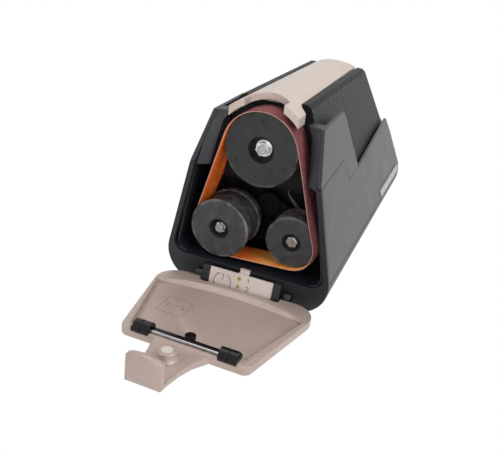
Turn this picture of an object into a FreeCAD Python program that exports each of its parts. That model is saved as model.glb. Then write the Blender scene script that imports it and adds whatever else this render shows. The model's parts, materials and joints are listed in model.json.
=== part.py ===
import FreeCAD, Part
import math
import os
import Sketcher

# Belt-driven kitchen knife sharpener, front cover hanging open.
# All lengths are millimetres. Shapes are drawn from the top pulley's centre, on the
# plane of the pulley faces: x to the viewer's right, y backwards, z up. The last step
# moves them all so that z = 0 is the table and y = 0 the middle of the whole length.

Vector = FreeCAD.Vector
Rotation = FreeCAD.Rotation
Placement = FreeCAD.Placement

sizes = {
    # half of the whole length, from the middle to the pulley faces
    "middleDepth": 52.1,
    # outline of the lower body, seen from the front
    "kneeHalf": 43.3,
    "kneeHeight": -13.0,
    "sideSlope": 0.2206,
    "bottomHeight": -100.0,
    "bottomCorner": 22.0,
    "frontFace": -9.2,
    "shellWall": 1.8,
    "linerWall": 1.6,
    "bezelDepth": 3.0,
    "chamberFloor": -80.0,
    "chamberDepth": 36.0,
    "legTop": -13.3,
    "tubTop": -74.5,
    "tubRear": 238.0,
    "seamGap": 0.4,
    # knife guides
    "finWall": 2.4,
    "shoulderBack": 17.0,
    # textured upper casing and the spine on top of it
    "ridgeHalf": 24.0,
    "ridgeHeight": 26.0,
    "casingSlope": 0.352,
    "casingFoot": -27.0,
    "casingFront": 17.0,
    "spineRadius": 33.2,
    "spineSeat": 26.7,
    "spineHalf": 17.2,
    "spineTailHalf": 15.6,
    "prongHalf": 22.4,
    "prongInner": 12.5,
    "prongFront": -2.3,
    "prongUnderRadius": 28.9,
    "archDepth": 7.5,
    "archRise": 5.0,
    # pulleys and the abrasive belt
    "topRadius": 24.4,
    "driveX": -22.4,
    "driveZ": -57.8,
    "driveRadius": 19.1,
    "driveFlange": 20.5,
    "driveFace": -4.8,
    "idlerX": 26.5,
    "idlerZ": -56.8,
    "idlerRadius": 17.6,
    "idlerDisc": 15.0,
    "pulleyWidth": 16.4,
    "beltWidth": 19.05,
    "beltFront": -3.0,
    "beltThick": 0.9,
    "beltGap": 0.1,
    "axleRadius": 3.0,
    "runGap": 0.05,
    "topHub": 8.5,
    "driveHub": 7.0,
    "idlerHub": 6.3,
    "hubDepth": 6.0,
    "nutRadius": 4.6,
    "endNutRadius": 3.8,
    "nutThick": 3.2,
    "washerThick": 0.7,
    "armPivotX": -0.5,
    "armPivotZ": -46.6,
    "armBoss": 8.4,
    "armThick": 3.5,
    "armWidth": 12.0,
    "armFront": 28.4,
    "springThick": 0.8,
    # motor and its drive behind the bulkhead
    "bulkheadThick": 3.0,
    "motorX": 6.0,
    "motorZ": -30.0,
    "motorRadius": 21.0,
    "motorLength": 58.0,
    "motorFront": 60.0,
    "motorPulleyRadius": 6.0,
    "wheelRadius": 20.0,
    "wheelFront": 44.0,
    "wheelWidth": 10.0,
    "shaftRadius": 2.5,
    "fanRadius": 18.0,
    "fanBlade": 7.0,
    # button housing under the chamber mouth
    "consoleHalf": 27.4,
    "panelHalf": 22.3,
    "panelTop": -81.7,
    "panelFront": -13.1,
    "panelTilt": 17.3,
    "panelHeight": 16.2,
    "panelThick": 1.6,
    "buttonX": -13.4,
    "buttonDrop": 8.2,
    "buttonRadius": 5.2,
    "buttonTravel": 0.8,
    "buttonGap": 0.12,
    "lampX": -1.2,
    "lampDrop": 3.3,
    "lampPitch": 5.4,
    "lampRadius": 1.3,
    # front cover, measured from its hinge line
    "hingeY": -9.6,
    "hingeZ": -90.9,
    "coverRim": -9.7,
    "coverOpen": 85.5,
    "coverThick": 6.2,
    "coverInset": 2.4,
    "coverStart": 5.0,
    "coverEnd": 85.4,
    "coverLowCorner": 15.0,
    "coverTopCorner": 5.0,
    "coverRound": 1.8,
    "trayDepth": 3.0,
    "trayFarHalf": 50.5,
    "trayNearHalf": 35.6,
    "trayFar": 24.2,
    "trayNear": 78.7,
    "trayArch": 13.6,
    "notchHalf": 28.4,
    "notchEnd": 9.9,
    "armTip": 127.2,
    "coverArmThick": 4.4,
    "tabThick": 3.4,
    "tabHeight": 15.0,
    "tabCrown": 3.0,
    "tabHalf": 10.0,
    "bossAlong": 102.2,
    "bossRadius": 4.3,
    "bossHeight": 7.5,
    "bossFoot": 5.7,
    "magnetRadius": 3.2,
    "rodAlong": 81.1,
    "knobAlong": 75.3,
    "rodRadius": 1.1,
    "rodHalf": 22.0,
    "guideInner": 21.2,
    "guideOuter": 32.2,
    "guideRadius": 4.5,
    "knobRadius": 3.2,
    "knuckleRadius": 3.0,
    "pinRadius": 1.5,
    # small parts
    "footRadius": 7.0,
    "footHeight": 3.0,
    "screwHead": 3.2,
    "screwShank": 1.6,
    "badgeLength": 76.0,
    "badgeHeight": 6.4,
    "badgeThick": 1.2,
    "glandRadius": 5.5,
    "glandBore": 3.2,
}

doc = FreeCAD.newDocument("KnifeSharpener")
sheet = doc.addObject("Spreadsheet::Sheet", "Sizes")
for row, (alias, amount) in enumerate(sizes.items(), 1):
    sheet.set("A%d" % row, alias)
    sheet.set("B%d" % row, str(amount))
    sheet.setAlias("B%d" % row, alias)
doc.recompute()


def size(alias):
    return sizes[alias]


# drawing helpers


def roundedLoop(points, radii):
    """Straight runs joined by tangent arcs; a radius of 0 keeps the corner sharp."""
    count = len(points)
    entries = []
    for i in range(count):
        here = Vector(points[i][0], points[i][1], 0)
        before = Vector(points[i - 1][0], points[i - 1][1], 0) - here
        after = Vector(points[(i + 1) % count][0], points[(i + 1) % count][1], 0) - here
        radius = radii[i] if isinstance(radii, (list, tuple)) else radii
        before.normalize()
        after.normalize()
        if radius == 0:
            entries.append((here, here, None))
            continue
        half = before.getAngle(after) / 2
        reach = radius / math.tan(half)
        start = here + before * reach
        end = here + after * reach
        bisector = before + after
        bisector.normalize()
        centre = here + bisector * (radius / math.sin(half))
        middle = centre - bisector * radius
        entries.append((start, end, middle))
    shapes = []
    for i in range(count):
        start, end, middle = entries[i]
        if middle is not None:
            shapes.append(Part.Arc(start, middle, end))
        nextStart = entries[(i + 1) % count][0]
        if (nextStart - end).Length > 1e-6:
            shapes.append(Part.LineSegment(end, nextStart))
    return shapes


def polygon(points):
    return roundedLoop(points, 0)


def circle(x, y, radius):
    return [Part.Circle(Vector(x, y, 0), Vector(0, 0, 1), radius)]


def beltLoop(rings, grow):
    """The outline of a belt round discs given as (x, z, radius), clockwise from the first."""
    shapes = []
    tangents = []
    count = len(rings)
    for i in range(count):
        x1, z1, r1 = rings[i]
        x2, z2, r2 = rings[(i + 1) % count]
        span = math.hypot(x2 - x1, z2 - z1)
        heading = math.atan2(z2 - z1, x2 - x1)
        lean = math.asin((r1 - r2) / span)
        angle = heading + math.pi / 2 - lean
        first = Vector(x1 + (r1 + grow) * math.cos(angle), z1 + (r1 + grow) * math.sin(angle), 0)
        second = Vector(x2 + (r2 + grow) * math.cos(angle), z2 + (r2 + grow) * math.sin(angle), 0)
        tangents.append((first, second, angle))
    for i in range(count):
        x, z, r = rings[i]
        arrive = tangents[i - 1]
        leave = tangents[i]
        turn = (arrive[2] - leave[2]) % (2 * math.pi)
        middleAngle = arrive[2] - turn / 2
        middle = Vector(x + (r + grow) * math.cos(middleAngle), z + (r + grow) * math.sin(middleAngle), 0)
        shapes.append(Part.Arc(arrive[1], middle, leave[0]))
        shapes.append(Part.LineSegment(leave[0], leave[1]))
    return shapes


def sketchOn(body, plane, loops, offset):
    index = {"XY": 3, "XZ": 4, "YZ": 5}[plane]
    sketch = body.newObject("Sketcher::SketchObject", "Sketch")
    sketch.AttachmentSupport = [(body.Origin.OriginFeatures[index], "")]
    sketch.MapMode = "FlatFace"
    away = -offset if plane == "XZ" else offset
    sketch.AttachmentOffset = Placement(Vector(0, 0, away), Rotation())
    for loop in loops:
        sketch.addGeometry(loop, False)
    return sketch


def bind(thing, prop, text):
    """Ties a property to the sheet; the text is names of sizes, signs and numbers."""
    words = text.replace("(", " ( ").replace(")", " ) ").split()
    thing.setExpression(prop, " ".join("Sizes." + w if w in sizes else w for w in words))


def pad(plane, loops, start, length, solids=None):
    """A body padded towards +x, +y or +z; the length is text in names of sizes."""
    body = doc.addObject("PartDesign::Body", "Body")
    sketch = sketchOn(body, plane, loops, start)
    feature = body.newObject("PartDesign::Pad", "Pad")
    feature.Profile = sketch
    feature.Reversed = plane == "XZ"
    bind(feature, "Length", length)
    body.Tip = feature
    return body


def turned(points, x, z, outer):
    """A body turned about an axis along y through (x, z); points are (radius, y)."""
    body = doc.addObject("PartDesign::Body", "Body")
    sketch = sketchOn(body, "XY", [polygon(points)], 0)
    widest = max(range(len(points)), key=lambda i: points[i][0])
    # the point where line number widest starts lies at the largest radius
    sketch.addConstraint(Sketcher.Constraint("DistanceX", -1, 1, widest, 1, points[widest][0]))
    sketch.renameConstraint(0, "outer")
    bind(sketch, "Constraints.outer", outer)
    feature = body.newObject("PartDesign::Revolution", "Revolution")
    feature.Profile = sketch
    feature.ReferenceAxis = (sketch, ["V_Axis"])
    feature.Angle = 360
    body.Tip = feature
    body.Placement = Placement(Vector(x, 0, z), Rotation())
    return body


directions = {
    "x": Rotation(Vector(0, 1, 0), 90),
    "y": Rotation(Vector(1, 0, 0), -90),
    "z": Rotation(),
}


def rod(axis, at, radius, length):
    item = doc.addObject("Part::Cylinder", "Cylinder")
    bind(item, "Radius", radius)
    bind(item, "Height", length)
    item.Placement = Placement(Vector(*at), directions[axis])
    return item


def block(low, high):
    item = doc.addObject("Part::Box", "Box")
    item.Length = high[0] - low[0]
    item.Width = high[1] - low[1]
    item.Height = high[2] - low[2]
    item.Placement = Placement(Vector(*low), Rotation())
    return item


def fuse(*items):
    item = doc.addObject("Part::MultiFuse", "Fuse")
    item.Shapes = list(items)
    return item


def common(*items):
    item = doc.addObject("Part::MultiCommon", "Common")
    item.Shapes = list(items)
    return item


def cut(base, *tools):
    item = doc.addObject("Part::Cut", "Cut")
    item.Base = base
    item.Tool = tools[0] if len(tools) == 1 else fuse(*tools)
    return item


def loft(sections):
    """A ruled solid through polygons given as (z, [(x, y), ...])."""
    wires = []
    for height, points in sections:
        wire = doc.addObject("Part::Polygon", "Polygon")
        wire.Nodes = [Vector(x, y, height) for x, y in points]
        wire.Close = True
        wires.append(wire)
    item = doc.addObject("Part::Loft", "Loft")
    item.Sections = wires
    item.Solid = True
    item.Ruled = True
    return item


def moved(item, placement):
    item.Placement = placement.multiply(item.Placement)
    return item


def mirrored(item):
    other = doc.addObject("Part::Mirroring", "Mirror")
    other.Source = item
    other.Normal = Vector(1, 0, 0)
    return other


nodes = {}
footBottom = size("bottomHeight") - size("footHeight")
stand = Placement(Vector(0, -size("middleDepth"), -footBottom), Rotation())


def keep(name, item, pose=None):
    """Names a finished piece and sets it in its place on the table."""
    if pose is not None:
        item.Placement = pose.multiply(item.Placement)
    item.Placement = stand.multiply(item.Placement)
    item.Label = name
    nodes[name] = item


# outlines shared by several pieces


def bodyHalf(height, inset=0.0):
    """Half the width of the lower body at a height, less an inset square to the side."""
    lean = math.sqrt(1 + size("sideSlope") ** 2)
    return size("kneeHalf") + (size("kneeHeight") - height) * size("sideSlope") - inset * lean


def bodyOutline(inset, top):
    corner = max(size("bottomCorner") - inset, 1.0)
    low = size("bottomHeight") + inset
    points = [
        (-bodyHalf(top, inset), top),
        (-bodyHalf(low, inset), low),
        (bodyHalf(low, inset), low),
        (bodyHalf(top, inset), top),
    ]
    return roundedLoop(points, [0, corner, corner, 0])


def liner(inset, wall, floor, top, corner):
    """A U-shaped wall: the chamber's side walls and floor."""
    innerFloor = floor
    outerFloor = floor - wall
    inner = inset + wall
    points = [
        (-bodyHalf(top, inset), top),
        (-bodyHalf(outerFloor, inset) + 3.0, outerFloor),
        (bodyHalf(outerFloor, inset) - 3.0, outerFloor),
        (bodyHalf(top, inset), top),
        (bodyHalf(top, inner), top),
        (bodyHalf(innerFloor, inner) - 3.0, innerFloor),
        (-bodyHalf(innerFloor, inner) + 3.0, innerFloor),
        (-bodyHalf(top, inner), top),
    ]
    return roundedLoop(points, [0, corner, corner, 0, 0, corner - wall, corner - wall, 0])


def casingHalf(height, inset=0.0):
    lean = math.sqrt(1 + size("casingSlope") ** 2)
    return size("ridgeHalf") + (size("ridgeHeight") - height) * size("casingSlope") - inset * lean


rearLine = [(152.0, 34.5), (160.0, 29.0), (187.0, -14.4), (203.0, -29.0), (240.0, -69.0)]
seamLine = [(-9.2, -13.0), (44.0, -10.0), (56.0, -27.5), (82.0, -26.0)]
panelRear = (187.0, -14.4)
panelHeel = (237.0, size("tubTop") + size("seamGap"))
gap = size("seamGap")

# front frame: bezel, chamber walls and floor, and the chin below the mouth

mouth = 3.4
bezel = pad(
    "XZ",
    [
        roundedLoop(
            [
                (-bodyHalf(size("legTop")), size("legTop")),
                (-bodyHalf(size("bottomHeight")), size("bottomHeight")),
                (bodyHalf(size("bottomHeight")), size("bottomHeight")),
                (bodyHalf(size("legTop")), size("legTop")),
                (bodyHalf(size("legTop"), mouth), size("legTop")),
                (bodyHalf(size("chamberFloor"), mouth), size("chamberFloor")),
                (-bodyHalf(size("chamberFloor"), mouth), size("chamberFloor")),
                (-bodyHalf(size("legTop"), mouth), size("legTop")),
            ],
            [0, size("bottomCorner"), size("bottomCorner"), 0, 0, 8.0, 8.0, 0],
        )
    ],
    size("frontFace"),
    "bezelDepth",
)
walls = pad(
    "XZ",
    [liner(size("shellWall"), size("linerWall"), size("chamberFloor"), size("legTop"), 9.0)],
    size("frontFace") + size("bezelDepth"),
    "chamberDepth - frontFace - bezelDepth",
)
tongueNick = block((-2.7, -10.0, -82.8), (4.3, -7.9, -79.0))
knuckleNests = [
    block((x, -10.0, size("hingeZ") - 3.3), (x + 5.4, -6.0, size("hingeZ") + 3.3)) for x in (-34.2, 28.8)
]
pinGrooves = [rod("x", (x, size("hingeY"), size("hingeZ")), "pinRadius", "11.6") for x in (-34.6, 23.0)]
keep("front_frame", cut(fuse(bezel, walls), tongueNick, *(knuckleNests + pinGrooves)))

# base tub with screw posts and a closed rear wall

tubFront = size("frontFace") + size("bezelDepth")
tubSolid = pad("XZ", [bodyOutline(0.0, size("tubTop"))], tubFront, "tubRear - frontFace - bezelDepth")
tubHollow = pad("XZ", [bodyOutline(size("shellWall"), 0.0)], tubFront, "tubRear - frontFace - bezelDepth - shellWall")
tubSide = pad(
    "YZ",
    [
        roundedLoop(
            [
                (tubFront, size("tubTop")),
                (tubFront, size("bottomHeight")),
                (size("tubRear"), size("bottomHeight")),
                (size("tubRear"), size("tubTop")),
            ],
            [0, 0, 12.0, 0],
        )
    ],
    -70,
    "140",
)
tubHeel = pad(
    "YZ",
    [
        roundedLoop(
            [
                (tubFront, 0.0),
                (tubFront, size("bottomHeight") + size("shellWall")),
                (size("tubRear") - size("shellWall"), size("bottomHeight") + size("shellWall")),
                (size("tubRear") - size("shellWall"), 0.0),
            ],
            [0, 0, 12.0 - size("shellWall"), 0],
        )
    ],
    -70,
    "140",
)
postSpots = [(x, y) for y in (30.0, 190.0) for x in (-38.0, 38.0)]
postTop = -84.0
posts = [block((x - 4.5, y - 4.5, -98.5), (x + 4.5, y + 4.5, postTop)) for x, y in postSpots]
sinks = [rod("z", (x, y, -100.1), "screwHead + runGap * 4", "1.9") for x, y in postSpots]
pilots = [rod("z", (x, y, -100.1), "screwShank + runGap", "15") for x, y in postSpots]
glandHole = rod("y", (34.0, 230.0, -86.0), "glandBore", "12")
shellOfTub = cut(common(tubSolid, tubSide), common(tubHollow, tubHeel))
keep("base_tub", cut(fuse(shellOfTub, *posts), glandHole, *(sinks + pilots)))

heads = [rod("z", (x, y, -100.0), "screwHead", "1.7") for x, y in postSpots]
shanks = [rod("z", (x, y, -98.4), "screwShank", "12.5") for x, y in postSpots]
slots = [block((x - 2.2, y - 0.5, -100.1), (x + 2.2, y + 0.5, -99.3)) for x, y in postSpots]
crossSlots = [block((x - 0.5, y - 2.2, -100.1), (x + 0.5, y + 2.2, -99.3)) for x, y in postSpots]
keep("base_screws", cut(fuse(*(heads + shanks)), *(slots + crossSlots)))

for name, x, y in (
    ("foot_front_left", -30.0, 14.0),
    ("foot_front_right", 30.0, 14.0),
    ("foot_rear_left", -30.0, 208.0),
    ("foot_rear_right", 30.0, 208.0),
):
    keep(name, rod("z", (x, y, footBottom), "footRadius", "footHeight"))

# cord gland on the rear wall

glandBody = fuse(
    rod("y", (34.0, 238.0, -86.0), "glandRadius", "3"),
    rod("y", (34.0, 234.4, -86.0), "glandBore", "4"),
)
keep("cord_gland", cut(glandBody, rod("y", (34.0, 234.0, -86.0), "glandBore - 1.2", "8")))

# side panels: flush skins below the lightning-shaped seam

panelProfile = [
    (tubFront, seamLine[0][1] - gap),
    (44.0 + 0.1, seamLine[1][1] - gap),
    (56.0 - 0.2, seamLine[2][1] - gap),
    (82.0, seamLine[3][1] - gap),
    (panelRear[0], panelRear[1] - gap),
    (203.0, -29.0),
    (240.0, -69.0),
    panelHeel,
    (tubFront, size("tubTop") + gap),
]
sideSlab = [
    (bodyHalf(-5.0), -5.0),
    (bodyHalf(-76.0), -76.0),
    (bodyHalf(-76.0, size("shellWall")), -76.0),
    (bodyHalf(-5.0, size("shellWall")), -5.0),
]


def sidePanel():
    slab = pad("XZ", [polygon(sideSlab)], tubFront, "tubRear - frontFace")
    profile = pad("YZ", [roundedLoop(panelProfile, [0, 0, 0, 0, 0, 6.0, 2.5, 1.0, 0])], 0, "75")
    return common(slab, profile)


keep("side_panel_right", sidePanel())
keep("side_panel_left", mirrored(sidePanel()))

# knife guides: a shoulder with a sloping front beside the belt, and a standing fin

finProfile = [
    (-9.1, -12.9),
    seamLine[1],
    seamLine[2],
    seamLine[3],
    (56.5, 14.0),
    (51.5, 19.5),
    (6.5, 18.4),
]
finSlab = [
    (bodyHalf(24.0), 24.0),
    (bodyHalf(-30.0), -30.0),
    (bodyHalf(-30.0, size("finWall")), -30.0),
    (bodyHalf(24.0, size("finWall")), 24.0),
]
back = size("shoulderBack")
shoulderLow = [(bodyHalf(-15.5, 3.8), -7.2), (bodyHalf(-15.5, 3.8), back), (33.1, back), (33.1, -2.1)]
shoulderMid = [(bodyHalf(12.0, 1.0), 3.4), (bodyHalf(12.0, 1.0), back), (29.3, back), (29.3, 6.5)]
shoulderTop = [(bodyHalf(18.4, 1.0), 7.0), (bodyHalf(18.4, 1.0), back), (25.2, back), (25.2, 9.5)]


def knifeGuide():
    slab = pad("XZ", [polygon(finSlab)], -12.0, "100")
    profile = pad("YZ", [roundedLoop(finProfile, [0, 0, 0, 1.0, 2.5, 2.5, 1.0])], 0, "60")
    lower = loft([(-15.5, shoulderLow), (12.0, shoulderMid)])
    upper = loft([(12.0, shoulderMid), (18.4, shoulderTop)])
    return fuse(common(slab, profile), lower, upper)


keep("guide_right", knifeGuide())
keep("guide_left", mirrored(knifeGuide()))

# upper casing: textured shell with its own front and rear walls


def casingOutline(inset, foot):
    deck = size("spineSeat") - 0.1 - inset
    crest = size("ridgeHeight") - 0.9 * inset
    right = [
        (17.5 if inset == 0 else 16.0, deck),
        (17.5 if inset == 0 else 17.0, 28.7 if inset == 0 else deck),
        (21.6 if inset == 0 else 20.5, 28.4 if inset == 0 else deck),
        (casingHalf(crest, inset), crest if inset == 0 else deck - 0.8),
        (casingHalf(foot, inset), foot),
    ]
    return polygon(right + [(-x, z) for x, z in reversed(right)])


def rearProfile(inset, front, low, high):
    line = [(y - inset, z - 0.4 * inset) for y, z in rearLine]
    foot = (line[3][0], low)
    return polygon([(front, low), (front, high), (line[0][0], high), line[0], line[1], line[2], line[3], foot])


casingSolid = common(
    pad("XZ", [casingOutline(0.0, size("casingFoot"))], size("casingFront"), "200"),
    pad("YZ", [rearProfile(0.0, 0.0, size("casingFoot"), 40.0)], -70, "140"),
)
casingHollow = common(
    pad("XZ", [casingOutline(size("shellWall"), -30.0)], size("casingFront") + 2.0, "200"),
    pad("YZ", [rearProfile(2.0, 0.0, -31.0, 40.0)], -70, "140"),
)
axleHole = rod("y", (0.0, 10.0, 0.0), "axleRadius + runGap", "20")
wallRelief = block((41.5, 16.0, -28.0), (45.5, size("chamberDepth") + 0.3, -24.4))
keep("upper_casing", cut(casingSolid, casingHollow, axleHole, wallRelief, mirrored(wallRelief)))

# spine: smooth strip with two prongs over the top pulley

spineR = size("spineRadius")
underR = size("prongUnderRadius")
tailReach = 140.0


def ringSector(half, outer, inner):
    rightOut = Vector(half, math.sqrt(outer**2 - half**2), 0)
    leftOut = Vector(-half, rightOut.y, 0)
    rightIn = Vector(half, math.sqrt(inner**2 - half**2), 0)
    leftIn = Vector(-half, rightIn.y, 0)
    return [
        Part.Arc(leftOut, Vector(0, outer, 0), rightOut),
        Part.LineSegment(rightOut, rightIn),
        Part.Arc(rightIn, Vector(0, inner, 0), leftIn),
        Part.LineSegment(leftIn, leftOut),
    ]


def crownStrip(half, outer, seat):
    top = math.sqrt(outer**2 - half**2)
    return [
        Part.Arc(Vector(-half, top, 0), Vector(0, outer, 0), Vector(half, top, 0)),
        Part.LineSegment(Vector(half, top, 0), Vector(half, seat, 0)),
        Part.LineSegment(Vector(half, seat, 0), Vector(-half, seat, 0)),
        Part.LineSegment(Vector(-half, seat, 0), Vector(-half, top, 0)),
    ]


inner = size("prongInner")
archY = size("archDepth")
front = size("prongFront")
spinePlan = [
    Part.LineSegment(Vector(inner, front, 0), Vector(size("prongHalf"), front, 0)),
    Part.LineSegment(Vector(size("prongHalf"), front, 0), Vector(size("prongHalf"), 10.5, 0)),
    Part.LineSegment(Vector(size("prongHalf"), 10.5, 0), Vector(size("spineHalf") + 0.1, 14.5, 0)),
    Part.LineSegment(Vector(size("spineHalf") + 0.1, 14.5, 0), Vector(size("spineTailHalf"), 165.0, 0)),
    Part.LineSegment(Vector(size("spineTailHalf"), 165.0, 0), Vector(-size("spineTailHalf"), 165.0, 0)),
    Part.LineSegment(Vector(-size("spineTailHalf"), 165.0, 0), Vector(-size("spineHalf") - 0.1, 14.5, 0)),
    Part.LineSegment(Vector(-size("spineHalf") - 0.1, 14.5, 0), Vector(-size("prongHalf"), 10.5, 0)),
    Part.LineSegment(Vector(-size("prongHalf"), 10.5, 0), Vector(-size("prongHalf"), front, 0)),
    Part.LineSegment(Vector(-size("prongHalf"), front, 0), Vector(-inner, front, 0)),
    Part.LineSegment(Vector(-inner, front, 0), Vector(-inner, archY, 0)),
    Part.Arc(Vector(-inner, archY, 0), Vector(0, archY + size("archRise"), 0), Vector(inner, archY, 0)),
    Part.LineSegment(Vector(inner, archY, 0), Vector(inner, front, 0)),
]
spineFront = pad("XZ", [ringSector(size("prongHalf") + 1.0, spineR, underR)], front - 1.0, "casingFront - prongFront + 1")
spineTail = pad("XZ", [crownStrip(size("spineHalf"), spineR, size("spineSeat"))], size("casingFront"), "150")
spinePlanBody = pad("XY", [spinePlan], 0, "40")
spineRear = pad("YZ", [rearProfile(0.0, -20.0, 0.0, 40.0)], -70, "140")
keep("top_spine", common(fuse(spineFront, spineTail), spinePlanBody, spineRear))

# rear cover with cooling slots


def rearBand(inset):
    y0, z0 = rearLine[3]
    y1, z1 = rearLine[4]
    start = (y0 - 2.2, z0 + 2.0)
    heel = (y1 - 1.6, size("tubTop") + gap)
    return polygon(
        [
            start,
            (y0, z0),
            (y1, z1),
            heel,
            (heel[0] - 2.6, heel[1]),
            (y1 - 3.0, z1 - 1.0),
            (y0 - 2.2, z0 - 1.2),
            (start[0] - 2.0, start[1] - 2.0),
        ]
    )


rearInside = [
    (bodyHalf(-20.0, size("shellWall")) - 0.1, -20.0),
    (bodyHalf(-76.0, size("shellWall")) - 0.1, -76.0),
]
rearInside += [(-x, z) for x, z in reversed(rearInside)]
rearSolid = common(
    pad("XZ", [polygon(rearInside)], 180.0, "70"),
    pad("YZ", [rearBand(0.0)], -70, "140"),
)
ventCount = 7
ventPitch = 5.0
vents = [
    moved(
        block((-24.0, -4.0, -1.0), (24.0, 4.0, 1.0)),
        Placement(
            Vector(0, rearLine[3][0] + 6.0 + i * ventPitch * 0.68, rearLine[3][1] - 6.5 - i * ventPitch * 0.735),
            Rotation(Vector(1, 0, 0), 0),
        ),
    )
    for i in range(ventCount)
]
keep("rear_cover", cut(rearSolid, *vents))

# bulkhead behind the belts, with the motor behind it

bulk = size("chamberDepth")
bulkTop = 24.0
bulkOutline = [
    (casingHalf(bulkTop, 2.0) - 1.6, bulkTop - 1.2),
    (casingHalf(size("casingFoot"), 2.0) - 0.2, size("casingFoot") - 0.2),
    (bodyHalf(size("casingFoot"), size("shellWall")) - 0.2, size("casingFoot") - 0.2),
    (bodyHalf(size("tubTop"), size("shellWall")) - 0.2, size("tubTop")),
    (bodyHalf(size("tubTop"), size("shellWall")) - 8.0, size("chamberFloor") - size("linerWall")),
]
bulkOutline += [(-x, z) for x, z in reversed(bulkOutline)]
bulkPlate = pad("XZ", [polygon(bulkOutline)], bulk, "bulkheadThick")
ceiling = block((-34.0, size("casingFront"), size("casingFoot") - 2.0), (34.0, bulk, size("casingFoot")))
springPost = rod("y", (9.5, 28.6, -33.5), "2.2", "chamberDepth - 28.6")
driveHole = rod("y", (size("driveX"), 20.0, size("driveZ")), "axleRadius + 1.2", "30")
motorHole = rod("y", (size("motorX"), 20.0, size("motorZ")), "shaftRadius + 1.2", "30")
topHole = rod("y", (0.0, 20.0, 0.0), "axleRadius", "30")
pivotHole = rod("y", (size("armPivotX"), 20.0, size("armPivotZ")), "axleRadius", "30")
keep("bulkhead", cut(fuse(bulkPlate, ceiling, springPost), driveHole, motorHole, topHole, pivotHole))

bearingRing = turned(
    [(3.05, 31.0), (9.0, 31.0), (9.0, 36.0), (3.05, 36.0)], size("driveX"), size("driveZ"), "9"
)
keep("drive_bearing", bearingRing)

mountPosts = [rod("y", (x, 39.0, z), "3", "motorFront - 42") for x, z in ((28.0, -9.0), (-17.0, -9.0), (29.0, -50.0))]
mountPlate = pad(
    "XZ",
    [roundedLoop([(-21.0, -53.0), (33.0, -53.0), (33.0, -5.0), (-21.0, -5.0)], 4.0)],
    size("motorFront") - 3.0,
    "3",
)
mountBore = rod("y", (size("motorX"), 50.0, size("motorZ")), "shaftRadius + 3", "20")
keep("motor_mount", cut(fuse(mountPlate, *mountPosts), mountBore))

motorCan = rod("y", (size("motorX"), size("motorFront"), size("motorZ")), "motorRadius", "motorLength")
motorBore = rod("y", (size("motorX"), size("motorFront") - 1, size("motorZ")), "shaftRadius + runGap", "motorLength + 2")
ventSlots = [
    moved(
        block((15.0, 72.0, -2.0), (23.0, 106.0, 2.0)),
        Placement(Vector(size("motorX"), 0, size("motorZ")), Rotation(Vector(0, 1, 0), 45.0 + 90.0 * i)),
    )
    for i in range(4)
]
keep("motor_body", cut(motorCan, motorBore, *ventSlots))

shaftEnd = size("motorFront") + size("motorLength") + 12.0
keep("motor_shaft", rod("y", (size("motorX"), 43.0, size("motorZ")), "shaftRadius", "motorFront + motorLength + 12 - 43"))
wheelStart = size("wheelFront")
wheelEnd = wheelStart + size("wheelWidth")
keep(
    "motor_pulley",
    turned(
        [
            (2.5, wheelStart),
            (7.2, wheelStart),
            (7.2, wheelStart + 1.0),
            (6.0, wheelStart + 1.0),
            (6.0, wheelEnd - 1.0),
            (7.2, wheelEnd - 1.0),
            (7.2, wheelEnd),
            (2.5, wheelEnd),
        ],
        size("motorX"),
        size("motorZ"),
        "motorPulleyRadius + 1.2",
    ),
)
fanStart = size("motorFront") + size("motorLength") + 2.0
fanHub = rod("y", (0, fanStart, 0), "6", "9")
fanDisc = rod("y", (0, fanStart, 0), "fanRadius", "1.5")
fanBlades = [
    moved(block((5.0, fanStart, -0.7), (17.5, fanStart + 8.5, 0.7)), Placement(Vector(), Rotation(Vector(0, 1, 0), 45.0 * i)))
    for i in range(8)
]
fanBore = rod("y", (0, fanStart - 1, 0), "shaftRadius", "12")
keep(
    "cooling_fan",
    cut(fuse(fanHub, fanDisc, *fanBlades), fanBore),
    Placement(Vector(size("motorX"), 0, size("motorZ")), Rotation()),
)

keep(
    "driven_wheel",
    turned(
        [
            (3.0, wheelStart),
            (21.2, wheelStart),
            (21.2, wheelStart + 1.0),
            (20.0, wheelStart + 1.0),
            (20.0, wheelEnd - 1.0),
            (21.2, wheelEnd - 1.0),
            (21.2, wheelEnd),
            (3.0, wheelEnd),
        ],
        size("driveX"),
        size("driveZ"),
        "wheelRadius + 1.2",
    ),
)
innerRings = [
    (size("driveX"), size("driveZ"), size("wheelRadius")),
    (size("motorX"), size("motorZ"), size("motorPulleyRadius")),
]
keep(
    "transmission_belt",
    pad(
        "XZ",
        [beltLoop(innerRings, size("beltGap") + 1.5), beltLoop(innerRings, size("beltGap"))],
        wheelStart + 1.1,
        "wheelWidth - 2.2",
    ),
)

controlBoard = pad("XY", [roundedLoop([(-24.0, 66.0), (24.0, 66.0), (24.0, 126.0), (-24.0, 126.0)], 2.0)], -92.0, "1.6")
tubFloor = size("bottomHeight") + size("shellWall")
boardPosts = [rod("z", (x, y, tubFloor), "2.5", "6.3") for x in (-20.0, 20.0) for y in (70.0, 122.0)]
boardParts = [
    rod("z", (-10.0, 84.0, -90.4), "5", "9"),
    block((4.0, 76.0, -90.4), (18.0, 92.0, -84.0)),
    block((-16.0, 102.0, -90.4), (14.0, 112.0, -86.0)),
]
keep("control_board", fuse(controlBoard, *(boardPosts + boardParts)))

# pulleys, axles and the abrasive belt

depth = size("hubDepth")
wide = size("pulleyWidth")
fitBore = size("axleRadius") + size("runGap")


def ejectorMarks(radius, start):
    return [
        rod(
            "y",
            (radius * math.cos(math.radians(a)), start, radius * math.sin(math.radians(a))),
            "1",
            "0.5",
        )
        for a in (90.0, 210.0, 330.0)
    ]


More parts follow.
